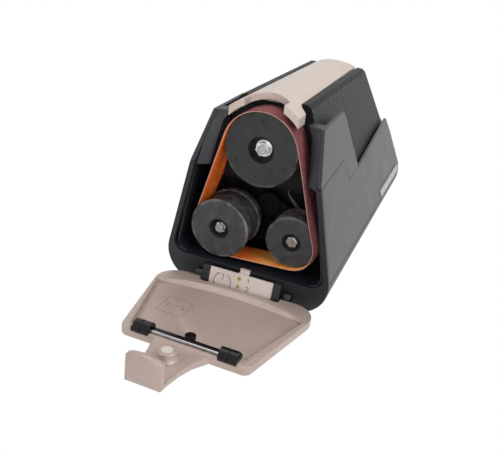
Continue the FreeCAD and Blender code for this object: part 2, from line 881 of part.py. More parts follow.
topPulley = turned(
    [
        (fitBore, depth),
        (size("topHub"), depth),
        (size("topHub"), 0.0),
        (size("topRadius") - 0.6, 0.0),
        (size("topRadius"), 0.6),
        (size("topRadius"), wide),
        (fitBore, wide),
    ],
    0.0,
    0.0,
    "topRadius",
)
keep("top_pulley", cut(topPulley, *ejectorMarks(18.5, -0.01)))

topAxle = fuse(
    rod("y", (0.0, 0.7, 0.0), "axleRadius", "chamberDepth - 0.7 + bulkheadThick"),
    rod("y", (0.0, wide + 0.1, 0.0), "5.5", "casingFront - pulleyWidth - 0.1"),
)
keep("top_axle", topAxle)


def hexagon(radius):
    return polygon([(radius * math.cos(math.radians(60 * i + 12)), radius * math.sin(math.radians(60 * i + 12))) for i in range(6)])


def nut(x, z, radius, start):
    shape = pad("XZ", [hexagon(radius)], start, "nutThick")
    shape = cut(shape, rod("y", (0, start - 1, 0), "axleRadius", "8"))
    return moved(shape, Placement(Vector(x, 0, z), Rotation()))


def washer(x, z, radius, start):
    ring = cut(rod("y", (0, start, 0), radius, "washerThick"), rod("y", (0, start - 1, 0), "axleRadius", "4"))
    return moved(ring, Placement(Vector(x, 0, z), Rotation()))


thin = size("washerThick")
keep("top_nut", nut(0.0, 0.0, size("nutRadius"), depth - 0.1 - thin - size("nutThick")))
keep("top_washer", washer(0.0, 0.0, "5.4", depth - 0.1 - thin))

driveFace = size("driveFace")
driveProfile = [
    (3.0, 1.2),
    (size("driveHub"), 1.2),
    (size("driveHub"), driveFace),
    (size("driveFlange") - 0.8, driveFace),
    (size("driveFlange"), driveFace + 0.8),
    (size("driveFlange"), driveFace + 1.4),
    (size("driveRadius"), driveFace + 1.6),
    (size("driveRadius"), wide + 0.2),
    (20.3, wide + 0.2),
    (20.3, wide + 2.2),
    (17.4, wide + 2.6),
    (17.4, wide + 3.8),
    (19.6, wide + 4.2),
    (19.6, wide + 6.6),
    (16.6, wide + 7.0),
    (16.6, wide + 8.0),
    (18.4, wide + 8.4),
    (18.4, wide + 10.0),
    (3.0, wide + 10.0),
]
drivePulley = turned(driveProfile, size("driveX"), size("driveZ"), "driveFlange")
driveMarks = [
    moved(mark, Placement(Vector(size("driveX"), 0, size("driveZ")), Rotation())) for mark in ejectorMarks(15.5, driveFace - 0.01)
]
keep("drive_pulley", cut(drivePulley, *driveMarks))
shaftFront = driveFace + 1.0
driveShaftSpot = (size("driveX"), shaftFront, size("driveZ"))
keep("drive_shaft", rod("y", driveShaftSpot, "axleRadius", "wheelFront + wheelWidth + 1 - driveFace - 1"))
keep("drive_nut", nut(size("driveX"), size("driveZ"), size("endNutRadius"), 1.2 - size("nutThick")))

idlerProfile = [
    (fitBore, 4.4),
    (size("idlerHub"), 4.4),
    (size("idlerHub"), 0.0),
    (size("idlerRadius") - 0.6, 0.0),
    (size("idlerRadius"), 0.6),
    (size("idlerRadius"), wide),
    (size("idlerDisc"), wide + 0.4),
    (size("idlerDisc"), wide + 4.0),
    (fitBore, wide + 4.0),
]
idler = turned(idlerProfile, size("idlerX"), size("idlerZ"), "idlerRadius")
idlerMarks = [
    moved(mark, Placement(Vector(size("idlerX"), 0, size("idlerZ")), Rotation())) for mark in ejectorMarks(13.5, -0.01)
]
keep("idler_pulley", cut(idler, *idlerMarks))

armFront = size("armFront")
armBack = armFront + size("armThick")
armPivot = (size("armPivotX"), size("armPivotZ"))
armEnd = (size("idlerX"), size("idlerZ"))
reach = math.hypot(armEnd[0] - armPivot[0], armEnd[1] - armPivot[1])
armAngle = math.degrees(math.atan2(armEnd[1] - armPivot[1], armEnd[0] - armPivot[0]))
armBar = pad(
    "XZ",
    [roundedLoop([(-6.0, -6.0), (reach + 6.0, -6.0), (reach + 6.0, 6.0), (-6.0, 6.0)], size("armWidth") / 2 - 0.1)],
    armFront,
    "armThick",
)
armBar = moved(armBar, Placement(Vector(armPivot[0], 0, armPivot[1]), Rotation(Vector(0, 1, 0), -armAngle)))
armBoss = rod("y", (armPivot[0], 27.2, armPivot[1]), "armBoss", "armFront + armThick - 27.2")
armEye = rod("y", (armPivot[0], 14.0, armPivot[1]), "axleRadius + runGap", "30")
armCounter = rod("y", (armPivot[0], 26.0, armPivot[1]), "3.9", "2")
axleEye = rod("y", (armEnd[0], 14.0, armEnd[1]), "axleRadius", "30")
keep("tension_arm", cut(fuse(armBar, armBoss), armEye, armCounter, axleEye))
idlerAxle = fuse(
    rod("y", (armEnd[0], 0.4, armEnd[1]), "axleRadius", "armFront + armThick - 0.4"),
    rod("y", (armEnd[0], wide + 4.1, armEnd[1]), "4.6", "armFront - pulleyWidth - 4.1"),
)
keep("idler_axle", idlerAxle)
keep("idler_nut", nut(armEnd[0], armEnd[1], size("endNutRadius"), 4.3 - size("nutThick")))
pivotPin = fuse(
    rod("y", (armPivot[0], 28.2, armPivot[1]), "axleRadius", "chamberDepth - 28.2 + bulkheadThick"),
    rod("y", (armPivot[0], armBack + 0.1, armPivot[1]), "5", "chamberDepth - armFront - armThick - 0.1"),
)
keep("tension_pivot", pivotPin)

# flat spring that presses the arm outward: from its post to the arm's upper edge
springDrop = math.radians(armAngle)
touchAlong = reach - 9.0
touch = (
    armPivot[0] + touchAlong * math.cos(springDrop) + 5.9 * math.cos(springDrop + math.pi / 2),
    armPivot[1] + touchAlong * math.sin(springDrop) + 5.9 * math.sin(springDrop + math.pi / 2),
)
leafTop = (11.7, -33.5)
leafThick = size("springThick")
leaf = pad(
    "XZ",
    [
        polygon(
            [
                (leafTop[0], leafTop[1] + 2.0),
                (leafTop[0] + leafThick, leafTop[1] + 2.0),
                (leafTop[0] + leafThick, leafTop[1] - 3.0),
                (touch[0] + 3.2, touch[1] + 1.6),
                (touch[0] + 2.2, touch[1] + 0.2),
                (touch[0] - 0.4, touch[1] + 0.9),
                (leafTop[0], leafTop[1] - 3.4),
            ]
        )
    ],
    armFront + 0.4,
    "2.6",
)
keep("tension_spring", leaf)

mainRings = [
    (0.0, 0.0, size("topRadius")),
    (size("idlerX"), size("idlerZ"), size("idlerRadius")),
    (size("driveX"), size("driveZ"), size("driveRadius")),
]
beltInner = size("beltGap")
keep(
    "abrasive_belt",
    pad(
        "XZ",
        [beltLoop(mainRings, beltInner + size("beltThick")), beltLoop(mainRings, beltInner)],
        size("beltFront"),
        "beltWidth",
    ),
)

# button console below the mouth

consoleSide = [(-9.2, -81.6), (-13.4, -81.6), (-18.7, -98.2), (-9.2, -98.2)]
consoleBody = pad("YZ", [roundedLoop(consoleSide, [0, 1.2, 1.5, 0])], -size("consoleHalf"), "consoleHalf * 2")
consoleSlot = block((-size("panelHalf") - 0.05, -30.0, -97.9), (size("panelHalf") + 0.05, -9.1, -70.0))
pinHoles = [rod("x", (x, size("hingeY"), size("hingeZ")), "pinRadius", "4.5") for x in (-27.5, 23.0)]
keep("button_console", cut(consoleBody, consoleSlot, *pinHoles))

panelPose = Placement(
    Vector(0, size("panelFront"), size("panelTop")), Rotation(Vector(1, 0, 0), -size("panelTilt"))
)
high = size("panelHeight")
panelPlate = pad(
    "XZ",
    [
        polygon(
            [
                (-size("panelHalf"), -high),
                (size("panelHalf"), -high),
                (size("panelHalf"), 0.0),
                (-size("panelHalf"), 0.0),
            ]
        ),
        circle(size("buttonX"), -size("buttonDrop"), size("buttonRadius") + size("buttonGap")),
    ]
    + [circle(size("lampX"), -size("lampDrop") - i * size("lampPitch"), size("lampRadius")) for i in range(3)],
    0.0,
    "panelThick",
)
# a tongue reaches back over the console and shows in a nick of the chin
tongue = block((-2.6, -13.1, -82.7), (4.2, -8.0, -81.7))
tongueTip = block((-2.6, -9.5, -82.7), (4.2, -8.0, -79.9))
keep("button_panel", fuse(moved(panelPlate, panelPose), tongue, tongueTip))

buttonCap = fuse(
    rod("y", (size("buttonX"), 0.0, -size("buttonDrop")), "buttonRadius", "panelThick"),
    rod("y", (size("buttonX"), size("panelThick"), -size("buttonDrop")), "buttonRadius + 0.5", "0.5"),
)
keep("power_button", buttonCap, panelPose)

lampPosts = [
    rod("y", (size("lampX"), 0.1, -size("lampDrop") - i * size("lampPitch")), "lampRadius", "2.3") for i in range(3)
]
lampBar = block((size("lampX") - 2.0, size("panelThick"), -16.0), (size("lampX") + 2.0, 3.0, -1.9))
keep("light_guide", fuse(lampBar, *lampPosts), panelPose)
keep("switch_board", block((-20.0, 3.1, -15.6), (20.0, 3.9, -2.6)), panelPose)

# front cover in its closed place, then swung down about its hinge

swing = Placement(
    Vector(0, 0, 0),
    Rotation(Vector(1, 0, 0), size("coverOpen")),
    Vector(0, size("hingeY"), size("hingeZ")),
)
rim = size("coverRim")
hinge = size("hingeZ")


def along(distance):
    return hinge + distance


coverLow = along(size("coverStart"))
coverHigh = along(size("coverEnd"))
outer = [
    (-bodyHalf(coverLow, size("coverInset")), coverLow),
    (bodyHalf(coverLow, size("coverInset")), coverLow),
    (bodyHalf(coverHigh, size("coverInset")), coverHigh),
    (-bodyHalf(coverHigh, size("coverInset")), coverHigh),
]
plate = doc.addObject("PartDesign::Body", "Body")
plateSketch = sketchOn(
    plate,
    "XZ",
    [
        roundedLoop(
            outer,
            [size("coverLowCorner"), size("coverLowCorner"), size("coverTopCorner"), size("coverTopCorner")],
        )
    ],
    rim - size("coverThick"),
)
platePad = plate.newObject("PartDesign::Pad", "Pad")
platePad.Profile = plateSketch
platePad.Reversed = True
bind(platePad, "Length", "coverThick")
doc.recompute()
outerEdges = [
    "Edge%d" % (i + 1)
    for i, edge in enumerate(platePad.Shape.Edges)
    if all(abs(v.Point.y - (rim - size("coverThick"))) < 1e-4 for v in edge.Vertexes)
]
plateRound = plate.newObject("PartDesign::Fillet", "Fillet")
plateRound.Base = (platePad, outerEdges)
bind(plateRound, "Radius", "coverRound")
plate.Tip = plateRound

tray = pad(
    "XZ",
    [
        [
            Part.Arc(
                Vector(-size("trayFarHalf"), along(size("trayFar")), 0),
                Vector(0, along(size("trayFar") - size("trayArch")), 0),
                Vector(size("trayFarHalf"), along(size("trayFar")), 0),
            ),
            Part.LineSegment(
                Vector(size("trayFarHalf"), along(size("trayFar")), 0),
                Vector(size("trayNearHalf"), along(size("trayNear")), 0),
            ),
            Part.LineSegment(
                Vector(size("trayNearHalf"), along(size("trayNear")), 0),
                Vector(-size("trayNearHalf"), along(size("trayNear")), 0),
            ),
            Part.LineSegment(
                Vector(-size("trayNearHalf"), along(size("trayNear")), 0),
                Vector(-size("trayFarHalf"), along(size("trayFar")), 0),
            ),
        ]
    ],
    rim - size("trayDepth"),
    "trayDepth + 1",
)
notch = block((-size("notchHalf"), rim - 10.0, along(0.0)), (size("notchHalf"), rim + 2.0, along(size("notchEnd"))))

plateEnd = size("coverEnd")
armOutline = [
    (-19.0, along(plateEnd - 3.7)),
    (19.0, along(plateEnd - 3.7)),
    (17.0, along(plateEnd + 1.8)),
    (13.2, along(plateEnd + 13.3)),
    (11.0, along(plateEnd + 23.3)),
    (size("tabHalf"), along(plateEnd + 33.3)),
    (size("tabHalf"), along(size("armTip"))),
    (-size("tabHalf"), along(size("armTip"))),
    (-size("tabHalf"), along(plateEnd + 33.3)),
    (-11.0, along(plateEnd + 23.3)),
    (-13.2, along(plateEnd + 13.3)),
    (-17.0, along(plateEnd + 1.8)),
]
armTop = rim
coverArm = pad(
    "XZ",
    [roundedLoop(armOutline, [0, 0, 6.0, 20.0, 20.0, 8.0, 0, 0, 8.0, 20.0, 20.0, 6.0])],
    armTop - size("coverArmThick"),
    "coverArmThick",
)
tabStart = rim - size("coverArmThick")
tabEnd = rim + size("tabHeight")
tab = pad(
    "XY",
    [
        [
            Part.LineSegment(Vector(-size("tabHalf"), tabStart, 0), Vector(size("tabHalf"), tabStart, 0)),
            Part.LineSegment(Vector(size("tabHalf"), tabStart, 0), Vector(size("tabHalf"), tabEnd, 0)),
            Part.Arc(
                Vector(size("tabHalf"), tabEnd, 0),
                Vector(0, tabEnd + size("tabCrown"), 0),
                Vector(-size("tabHalf"), tabEnd, 0),
            ),
            Part.LineSegment(Vector(-size("tabHalf"), tabEnd, 0), Vector(-size("tabHalf"), tabStart, 0)),
        ]
    ],
    along(size("armTip") - size("tabThick")),
    "tabThick",
)
boss = fuse(
    rod("y", (0.0, rim - 1.0, along(size("bossAlong"))), "bossRadius", "bossHeight + 1"),
    rod("y", (0.0, rim - 1.0, along(size("bossAlong"))), "bossFoot", "2.2"),
)
magnetSeat = rod("y", (0.0, rim + size("bossHeight") - 1.6, along(size("bossAlong"))), "magnetRadius", "3")
knuckles = [rod("x", (x, size("hingeY"), hinge), "knuckleRadius", "5") for x in (-34.0, 29.0)]
webs = [block((x, size("hingeY") - 2.8, hinge), (x + 5.0, rim - 0.1, along(9.0))) for x in (-34.0, 29.0)]
pinBores = [rod("x", (x, size("hingeY"), hinge), "pinRadius + runGap", "8") for x in (-35.0, 27.5)]
guideSeats = [
    rod("x", (x, rim + 0.2, along(size("rodAlong"))), "guideRadius", "guideOuter - guideInner")
    for x in (-size("guideOuter"), size("guideInner"))
]
rodSeat = rod("x", (-size("rodHalf"), rim + 0.6, along(size("rodAlong") + 1.2)), "rodRadius", "rodHalf * 2")
barSeat = block(
    (-size("guideInner"), rim - 1.4, along(size("rodAlong") - 2.6)),
    (size("guideInner"), rim + 1.2, along(size("rodAlong") - 0.4)),
)
knobSeat = rod("y", (0.0, rim - size("trayDepth") - 1.0, along(size("knobAlong"))), "knobRadius - 1", "1.2")
coverCuts = [tray, notch, magnetSeat, knobSeat, rodSeat, barSeat] + pinBores + guideSeats
coverBody = cut(fuse(plate, coverArm, tab, boss, *(knuckles + webs)), *coverCuts)
keep("front_cover", coverBody, swing)

keep(
    "cover_magnet",
    rod("y", (0.0, rim + size("bossHeight") - 1.6, along(size("bossAlong"))), "magnetRadius", "1.5"),
    swing,
)
keep(
    "edge_rod",
    rod("x", (-size("guideInner"), rim + 0.6, along(size("rodAlong") + 1.2)), "rodRadius", "guideInner * 2"),
    swing,
)
keep(
    "guide_bar",
    block(
        (-size("guideInner"), rim - 1.4, along(size("rodAlong") - 2.6)),
        (size("guideInner"), rim + 1.2, along(size("rodAlong") - 0.4)),
    ),
    swing,
)


def edgeGuide():
    barrel = rod(
        "x",
        (size("guideInner"), rim + 0.2, along(size("rodAlong"))),
        "guideRadius",
        "guideOuter - guideInner",
    )
    groove = cut(
        rod("x", (26.4, rim + 0.2, along(size("rodAlong"))), "guideRadius + 1", "0.7"),
        rod("x", (26.0, rim + 0.2, along(size("rodAlong"))), "guideRadius - 0.5", "2"),
    )
    slant = moved(
        block((0.0, -8.0, -12.0), (10.0, 8.0, 12.0)),
        Placement(
            Vector(size("guideOuter") - 0.6, 0, along(size("rodAlong")) + 0.0),
            Rotation(Vector(0, 1, 0), 0),
            Vector(0, 0, 0),
        ),
    )
    slant = moved(slant, Placement(Vector(0, rim + 0.2, 0), Rotation()))
    tip = cut(slant, block((0.0, -60.0, -200.0), (size("guideOuter") + 5.0, rim + 1.8, 60.0)))
    return cut(barrel, groove, tip)


keep("edge_guide_right", edgeGuide(), swing)
keep("edge_guide_left", mirrored(edgeGuide()), swing)
keep(
    "centre_knob",
    fuse(
        rod("y", (0.0, rim - size("trayDepth"), along(size("knobAlong"))), "knobRadius", "4.4"),
        rod("y", (0.0, rim - size("trayDepth") - 0.9, along(size("knobAlong"))), "knobRadius - 1", "1.2"),
    ),
    swing,
)
for name, x in (("hinge_pin_left", -34.5), ("hinge_pin_right", 23.5)):
    keep(name, rod("x", (x, size("hingeY"), hinge), "pinRadius", "11"))

# plain nameplate on the right side panel

badgeFlat = pad(
    "YZ",
    [
        roundedLoop(
            [
                (-size("badgeLength") / 2, -size("badgeHeight") / 2),
                (size("badgeLength") / 2, -size("badgeHeight") / 2),
                (size("badgeLength") / 2, size("badgeHeight") / 2),
                (-size("badgeLength") / 2, size("badgeHeight") / 2),
            ],
            2.4,
        )
    ],
    0.0,
    "badgeThick",
)
badgeZ = -69.6
badgePose = Placement(
    Vector(bodyHalf(badgeZ), 189.0, badgeZ),
    Rotation(Vector(0, 1, 0), -math.degrees(math.atan(size("sideSlope")))),
)
keep("name_plate", badgeFlat, badgePose)

doc.recompute()
os.makedirs("parts", exist_ok=True)
problems = []
for item in doc.Objects:
    if "Invalid" in item.State or "Error" in item.State:
        problems.append("%s (%s): %s" % (item.Name, item.Label, item.State))
for name, item in nodes.items():
    shape = item.Shape
    if shape.isNull() or not shape.isValid() or not shape.Solids:
        problems.append("%s has no valid solid" % name)
if problems:
    raise RuntimeError("\n".join(problems))
box = FreeCAD.BoundBox()
for name, item in nodes.items():
    item.Shape.exportStep("parts/%s.step" % name)
    box.add(item.Shape.BoundBox)
    bound = item.Shape.BoundBox
    print(
        "%-18s solids %d vol %8.1f  x %.1f..%.1f y %.1f..%.1f z %.1f..%.1f"
        % (
            name,
            len(item.Shape.Solids),
            item.Shape.Volume,
            bound.XMin,
            bound.XMax,
            bound.YMin,
            bound.YMax,
            bound.ZMin,
            bound.ZMax,
        )
    )
print("whole", box)
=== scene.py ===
import bmesh
import bpy
import json
import math
from mathutils import Matrix, Vector


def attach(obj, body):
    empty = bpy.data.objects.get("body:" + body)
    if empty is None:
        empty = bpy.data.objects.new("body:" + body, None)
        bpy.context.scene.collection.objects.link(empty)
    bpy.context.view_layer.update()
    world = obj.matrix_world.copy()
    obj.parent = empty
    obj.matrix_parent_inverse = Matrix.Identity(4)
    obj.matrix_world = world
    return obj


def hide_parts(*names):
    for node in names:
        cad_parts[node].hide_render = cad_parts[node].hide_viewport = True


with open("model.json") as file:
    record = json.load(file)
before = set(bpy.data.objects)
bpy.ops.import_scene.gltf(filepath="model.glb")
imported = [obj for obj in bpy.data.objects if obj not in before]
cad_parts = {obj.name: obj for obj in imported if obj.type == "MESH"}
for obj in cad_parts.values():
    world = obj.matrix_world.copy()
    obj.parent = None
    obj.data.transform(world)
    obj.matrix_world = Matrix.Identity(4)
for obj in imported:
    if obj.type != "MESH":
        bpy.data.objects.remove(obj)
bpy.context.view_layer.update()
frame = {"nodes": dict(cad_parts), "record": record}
scene = bpy.context.scene
mm = 0.001
white = (1, 1, 1, 1)
depthShift = 52.1  # from the pulley faces to the origin
lift = 103.0  # from the table to the top pulley's centre
hingeAt = (-9.6, -90.9)  # depth and height of the cover's hinge line

# x and height of each centre, then the radii of the rim, of the belt's seat and of the hub's recess
pulleys = {
    "top": {"at": (0.0, 0.0), "rim": 24.4, "seat": 24.4, "hub": 8.45},
    "idler": {"at": (26.5, -56.8), "rim": 17.6, "seat": 17.6, "hub": 6.25},
    "drive": {"at": (-22.4, -57.8), "rim": 20.5, "seat": 19.1, "hub": 6.95},
}

print("stage: camera and light")


# millimetres from the top pulley's face centre to metres in the frame
def place(x, y, z):
    return Vector((x * mm, (y - depthShift) * mm, (z + lift) * mm))


viewpoint = {
    "lens": 43.02,
    "sensor": 36.0,
    "nearest": 0.01,
    "at": (118.8, -328.2, 118.6),
    "right": (0.9194, 0.3840, 0.0854),
    "forward": (-0.3117, 0.8435, -0.4375),
}
cameraData = bpy.data.cameras.new("viewpoint")
camera = bpy.data.objects.new("viewpoint", cameraData)
scene.collection.objects.link(camera)
cameraData.sensor_width = viewpoint["sensor"]
cameraData.lens = viewpoint["lens"]
cameraData.clip_start = viewpoint["nearest"]
forward = Vector(viewpoint["forward"]).normalized()
upward = Vector(viewpoint["right"]).cross(forward).normalized()
rightward = forward.cross(upward).normalized()
turn = Matrix((rightward, upward, -forward)).transposed()
camera.matrix_world = Matrix.Translation(place(*viewpoint["at"])) @ turn.to_4x4()
scene.camera = camera
scene.view_settings.view_transform = "Standard"

# places and spans in metres, power in watts
lamps = {
    "key": {"at": (0.95, -0.30, 0.80), "aim": (0.0, 0.0, 0.06), "span": (0.8, 0.8), "power": 8.0},
    "top": {"at": (-0.1, 0.2, 1.3), "aim": (0.0, 0.0, 0.05), "span": (1.0, 1.0), "power": 6.5},
    "left": {"at": (-0.9, -0.7, 0.6), "aim": (0.0, -0.05, 0.05), "span": (0.6, 0.6), "power": 2.2},
    "front": {"at": (0.3, -1.2, 0.35), "aim": (0.0, 0.0, 0.06), "span": (0.7, 0.4), "power": 3.0},
}
for lampName, lamp in lamps.items():
    light = bpy.data.lights.new(lampName, "AREA")
    light.shape = "RECTANGLE"
    light.size, light.size_y = lamp["span"]
    light.energy = lamp["power"]
    stand = bpy.data.objects.new(lampName, light)
    stand.location = lamp["at"]
    aiming = Vector(lamp["aim"]) - Vector(lamp["at"])
    stand.rotation_euler = aiming.to_track_quat("-Z", "Y").to_euler()
    scene.collection.objects.link(stand)


# 1 for rays from the camera, a gloss or a clear piece, which find plain white past the object
def seenDirectly(nodes, links):
    rays = nodes.new("ShaderNodeLightPath")
    total = rays.outputs["Is Camera Ray"]
    for kind in ("Is Glossy Ray", "Is Transmission Ray"):
        either = nodes.new("ShaderNodeMath")
        either.operation = "MAXIMUM"
        links.new(total, either.inputs[0])
        links.new(rays.outputs[kind], either.inputs[1])
        total = either.outputs[0]
    return total


# light levels and the paper's colour; the floor's half width and its drop are in metres
studio = {"fill": 0.38, "backdrop": 1.0, "paper": (0.92, 0.92, 0.92, 1), "half": 4, "drop": 0.0005}
world = bpy.data.worlds.new("studio")
scene.world = world
world.use_nodes = True
skyNodes, skyLinks = world.node_tree.nodes, world.node_tree.links
level = skyNodes.new("ShaderNodeMapRange")
level.inputs["To Min"].default_value = studio["fill"]
level.inputs["To Max"].default_value = studio["backdrop"]
skyLinks.new(seenDirectly(skyNodes, skyLinks), level.inputs["Value"])
skyNodes["Background"].inputs["Color"].default_value = white
skyLinks.new(level.outputs[0], skyNodes["Background"].inputs["Strength"])

square = ((-1, -1), (1, -1), (1, 1), (-1, 1))
floorCorners = [(x * studio["half"], y * studio["half"], 0) for x, y in square]
floorMesh = bpy.data.meshes.new("floor")
floorMesh.from_pydata(floorCorners, [], [(0, 1, 2, 3)])
floor = bpy.data.objects.new("floor", floorMesh)
floor.location.z = -studio["drop"]
scene.collection.objects.link(floor)
paperFloor = bpy.data.materials.new("paper floor")
paperFloor.use_nodes = True
floorNodes, floorLinks = paperFloor.node_tree.nodes, paperFloor.node_tree.links
floorNodes.clear()
floorOut = floorNodes.new("ShaderNodeOutputMaterial")
floorMix = floorNodes.new("ShaderNodeMixShader")
paper = floorNodes.new("ShaderNodeBsdfDiffuse")
glow = floorNodes.new("ShaderNodeEmission")
paper.inputs["Color"].default_value = studio["paper"]
glow.inputs["Color"].default_value = white
floorLinks.new(seenDirectly(floorNodes, floorLinks), floorMix.inputs["Fac"])
floorLinks.new(paper.outputs[0], floorMix.inputs[1])
floorLinks.new(glow.outputs[0], floorMix.inputs[2])
floorLinks.new(floorMix.outputs[0], floorOut.inputs["Surface"])
floorMesh.materials.append(paperFloor)

print("stage: finishes")


def scaled(colour, gain):
    return [min(1.0, c * gain) for c in colour]


# a material built from nodes, with short calls for the parts used again and again
class Finish:
    def __init__(self, name, rough, metal=0.0, specular=0.5):
        self.material = bpy.data.materials.new(name)
        self.material.use_nodes = True
        self.nodes = self.material.node_tree.nodes
        self.links = self.material.node_tree.links
        self.shader = self.nodes["Principled BSDF"]
        self.shader.inputs["Roughness"].default_value = rough
        self.shader.inputs["Metallic"].default_value = metal
        self.shader.inputs["Specular IOR Level"].default_value = specular
        self.coords = self.nodes.new("ShaderNodeTexCoord").outputs["Object"]

    def noise(self, scale, detail=3.0, rough=0.5, stretch=None):
        node = self.nodes.new("ShaderNodeTexNoise")
        node.inputs["Scale"].default_value = scale
        node.inputs["Detail"].default_value = detail
        node.inputs["Roughness"].default_value = rough
        source = self.coords
        if stretch:
            mapping = self.nodes.new("ShaderNodeMapping")
            mapping.inputs["Scale"].default_value = stretch
            self.links.new(source, mapping.inputs["Vector"])
            source = mapping.outputs[0]
        self.links.new(source, node.inputs["Vector"])
        return node.outputs["Fac"]

    def math(self, kind, *values):
        node = self.nodes.new("ShaderNodeMath")
        node.operation = kind
        for index, value in enumerate(values):
            if isinstance(value, (int, float)):
                node.inputs[index].default_value = value
            else:
                self.links.new(value, node.inputs[index])
        return node.outputs[0]

    def vector(self, kind, *values):
        node = self.nodes.new("ShaderNodeVectorMath")
        node.operation = kind
        for index, value in enumerate(values):
            if isinstance(value, (tuple, Vector)):
                node.inputs[index].default_value = value
            else:
                self.links.new(value, node.inputs[index])
        return node.outputs["Value" if kind == "LENGTH" else "Vector"]

    # distance from a place, with only some of the axes counted
    def distance(self, origin, counted):
        offset = self.vector("SUBTRACT", self.coords, origin)
        return self.vector("LENGTH", self.vector("MULTIPLY", offset, counted))

    def ramp(self, factor, stops):
        node = self.nodes.new("ShaderNodeValToRGB")
        ends = node.color_ramp.elements
        ends[0].position, ends[0].color = stops[0][0], (*stops[0][1], 1)
        ends[1].position, ends[1].color = stops[-1][0], (*stops[-1][1], 1)
        for at, colour in stops[1:-1]:
            ends.new(at).color = (*colour, 1)
        self.links.new(factor, node.inputs["Fac"])
        return node.outputs["Color"]

    # a tone that wanders softly between two colours
    def cloud(self, dark, light, scale, detail=4.0, low=0.3, high=0.7):
        return self.ramp(self.noise(scale, detail), [(low, dark), (high, light)])

    def mix(self, factor, first, second):
        node = self.nodes.new("ShaderNodeMix")
        node.data_type = "RGBA"
        for name, value in (("Factor", factor), ("A", first), ("B", second)):
            kind = "VALUE" if name == "Factor" else "RGBA"
            socket = next(s for s in node.inputs if s.name == name and s.type == kind)
            if isinstance(value, (tuple, list)):
                socket.default_value = (*value, 1)
            else:
                self.links.new(value, socket)
        return next(s for s in node.outputs if s.type == "RGBA")

    def split(self, source=None):
        node = self.nodes.new("ShaderNodeSeparateXYZ")
        self.links.new(source or self.coords, node.inputs[0])
        return node.outputs

    # how far a surface faces to either side, 0 to 1
    def sideways(self):
        normal = self.nodes.new("ShaderNodeTexCoord").outputs["Normal"]
        return self.math("ABSOLUTE", self.split(normal)["X"])

    # 0 to 1 as a value goes from low to high
    def band(self, value, low, high):
        node = self.nodes.new("ShaderNodeMapRange")
        node.inputs["From Min"].default_value = low
        node.inputs["From Max"].default_value = high
        self.links.new(value, node.inputs["Value"])
        return node.outputs[0]

    def colour(self, value):
        self.links.new(value, self.shader.inputs["Base Color"])

    def roughness(self, value):
        self.links.new(value, self.shader.inputs["Roughness"])

    # roughness that wanders by a span about its level
    def wear(self, level, span, scale):
        self.roughness(self.math("MULTIPLY_ADD", self.noise(scale, 3.0), span, level - span / 2))

    # height fields as (socket, distance in mm, strength) on edges softened by a radius in mm
    def bump(self, heights, edge=0.0):
        normal = None
        if edge:
            bevel = self.nodes.new("ShaderNodeBevel")
            bevel.samples = 6
            bevel.inputs["Radius"].default_value = edge * mm
            normal = bevel.outputs[0]
        for socket, distance, strength in heights:
            node = self.nodes.new("ShaderNodeBump")
            node.inputs["Distance"].default_value = distance * mm
            node.inputs["Strength"].default_value = strength
            self.links.new(socket, node.inputs["Height"])
            if normal:
                self.links.new(normal, node.inputs["Normal"])
            normal = node.outputs[0]
        self.links.new(normal, self.shader.inputs["Normal"])


# the scales of noise are in cycles to the metre, heights and softened corners (edge) in mm, and a
# relief is its height and strength
moulding = {"cloud": 28.0, "wear": 60.0, "wearSpan": 0.14, "grain": 2600.0, "grainHeight": 0.06}


# a plain moulding with a fine grain of the strength given
def mouldedPlastic(name, dark, light, rough, grain=0.5, edge=0.5, specular=0.5):
    finish = Finish(name, rough, specular=specular)
    finish.colour(finish.cloud(dark, light, moulding["cloud"]))
    finish.wear(rough, moulding["wearSpan"], moulding["wear"])
    fine = finish.noise(moulding["grain"], detail=2.0, rough=0.6)
    finish.bump([(fine, moulding["grainHeight"], grain)], edge)
    return finish


satin = {
    "rough": 0.40,
    "metal": 0.18,
    "cloud": 24.0,
    "fleck": 3600.0,
    "bright": {"from": 0.60, "to": 0.74, "gain": 1.35},
    "dull": {"from": 0.40, "to": 0.28, "gain": 0.72},
    "wear": 70.0,
    "wearSpan": 0.12,
    "relief": (0.04, 0.35),
}
# the cover's lugs are dark: near the hinge line and this far aside, each with the two ends of a fade
hingeLugs = {"reach": (5.0, 4.9), "aside": (28.2, 28.4), "tone": (0.010, 0.010, 0.013)}


# satin paint with bright and dark flecks
def fleckedPaint(name, dark, light, edge, lugs=None):
    finish = Finish(name, satin["rough"], satin["metal"])
    fleck = finish.noise(satin["fleck"], detail=1.0)
    coat = finish.cloud(dark, light, satin["cloud"])
    for flecks, tone in ((satin["bright"], light), (satin["dull"], dark)):
        share = finish.band(fleck, flecks["from"], flecks["to"])
        coat = finish.mix(share, coat, scaled(tone, flecks["gain"]))
    if lugs:
        reach = finish.distance(place(0.0, *hingeAt), (0, 1, 1))
        aside = finish.math("ABSOLUTE", finish.split()["X"])
        near = finish.band(reach, *(r * mm for r in lugs["reach"]))
        beyond = finish.band(aside, *(x * mm for x in lugs["aside"]))
        coat = finish.mix(finish.math("MULTIPLY", near, beyond), coat, lugs["tone"])
    finish.colour(coat)
    finish.wear(satin["rough"], satin["wearSpan"], satin["wear"])
    finish.bump([(fleck, *satin["relief"])], edge)
    return finish


dots = {
    "pitch": 3.4,
    "relief": (0.25, 0.9),
    "dark": (0.004, 0.004, 0.005),
    "light": (0.13, 0.13, 0.135),
    "fade": (0.25, 0.8),
    "steep": 0.75,  # only sides that face sideways this much have dots
    "grain": 2400.0,
    "grainRelief": (0.04, 0.4),
}


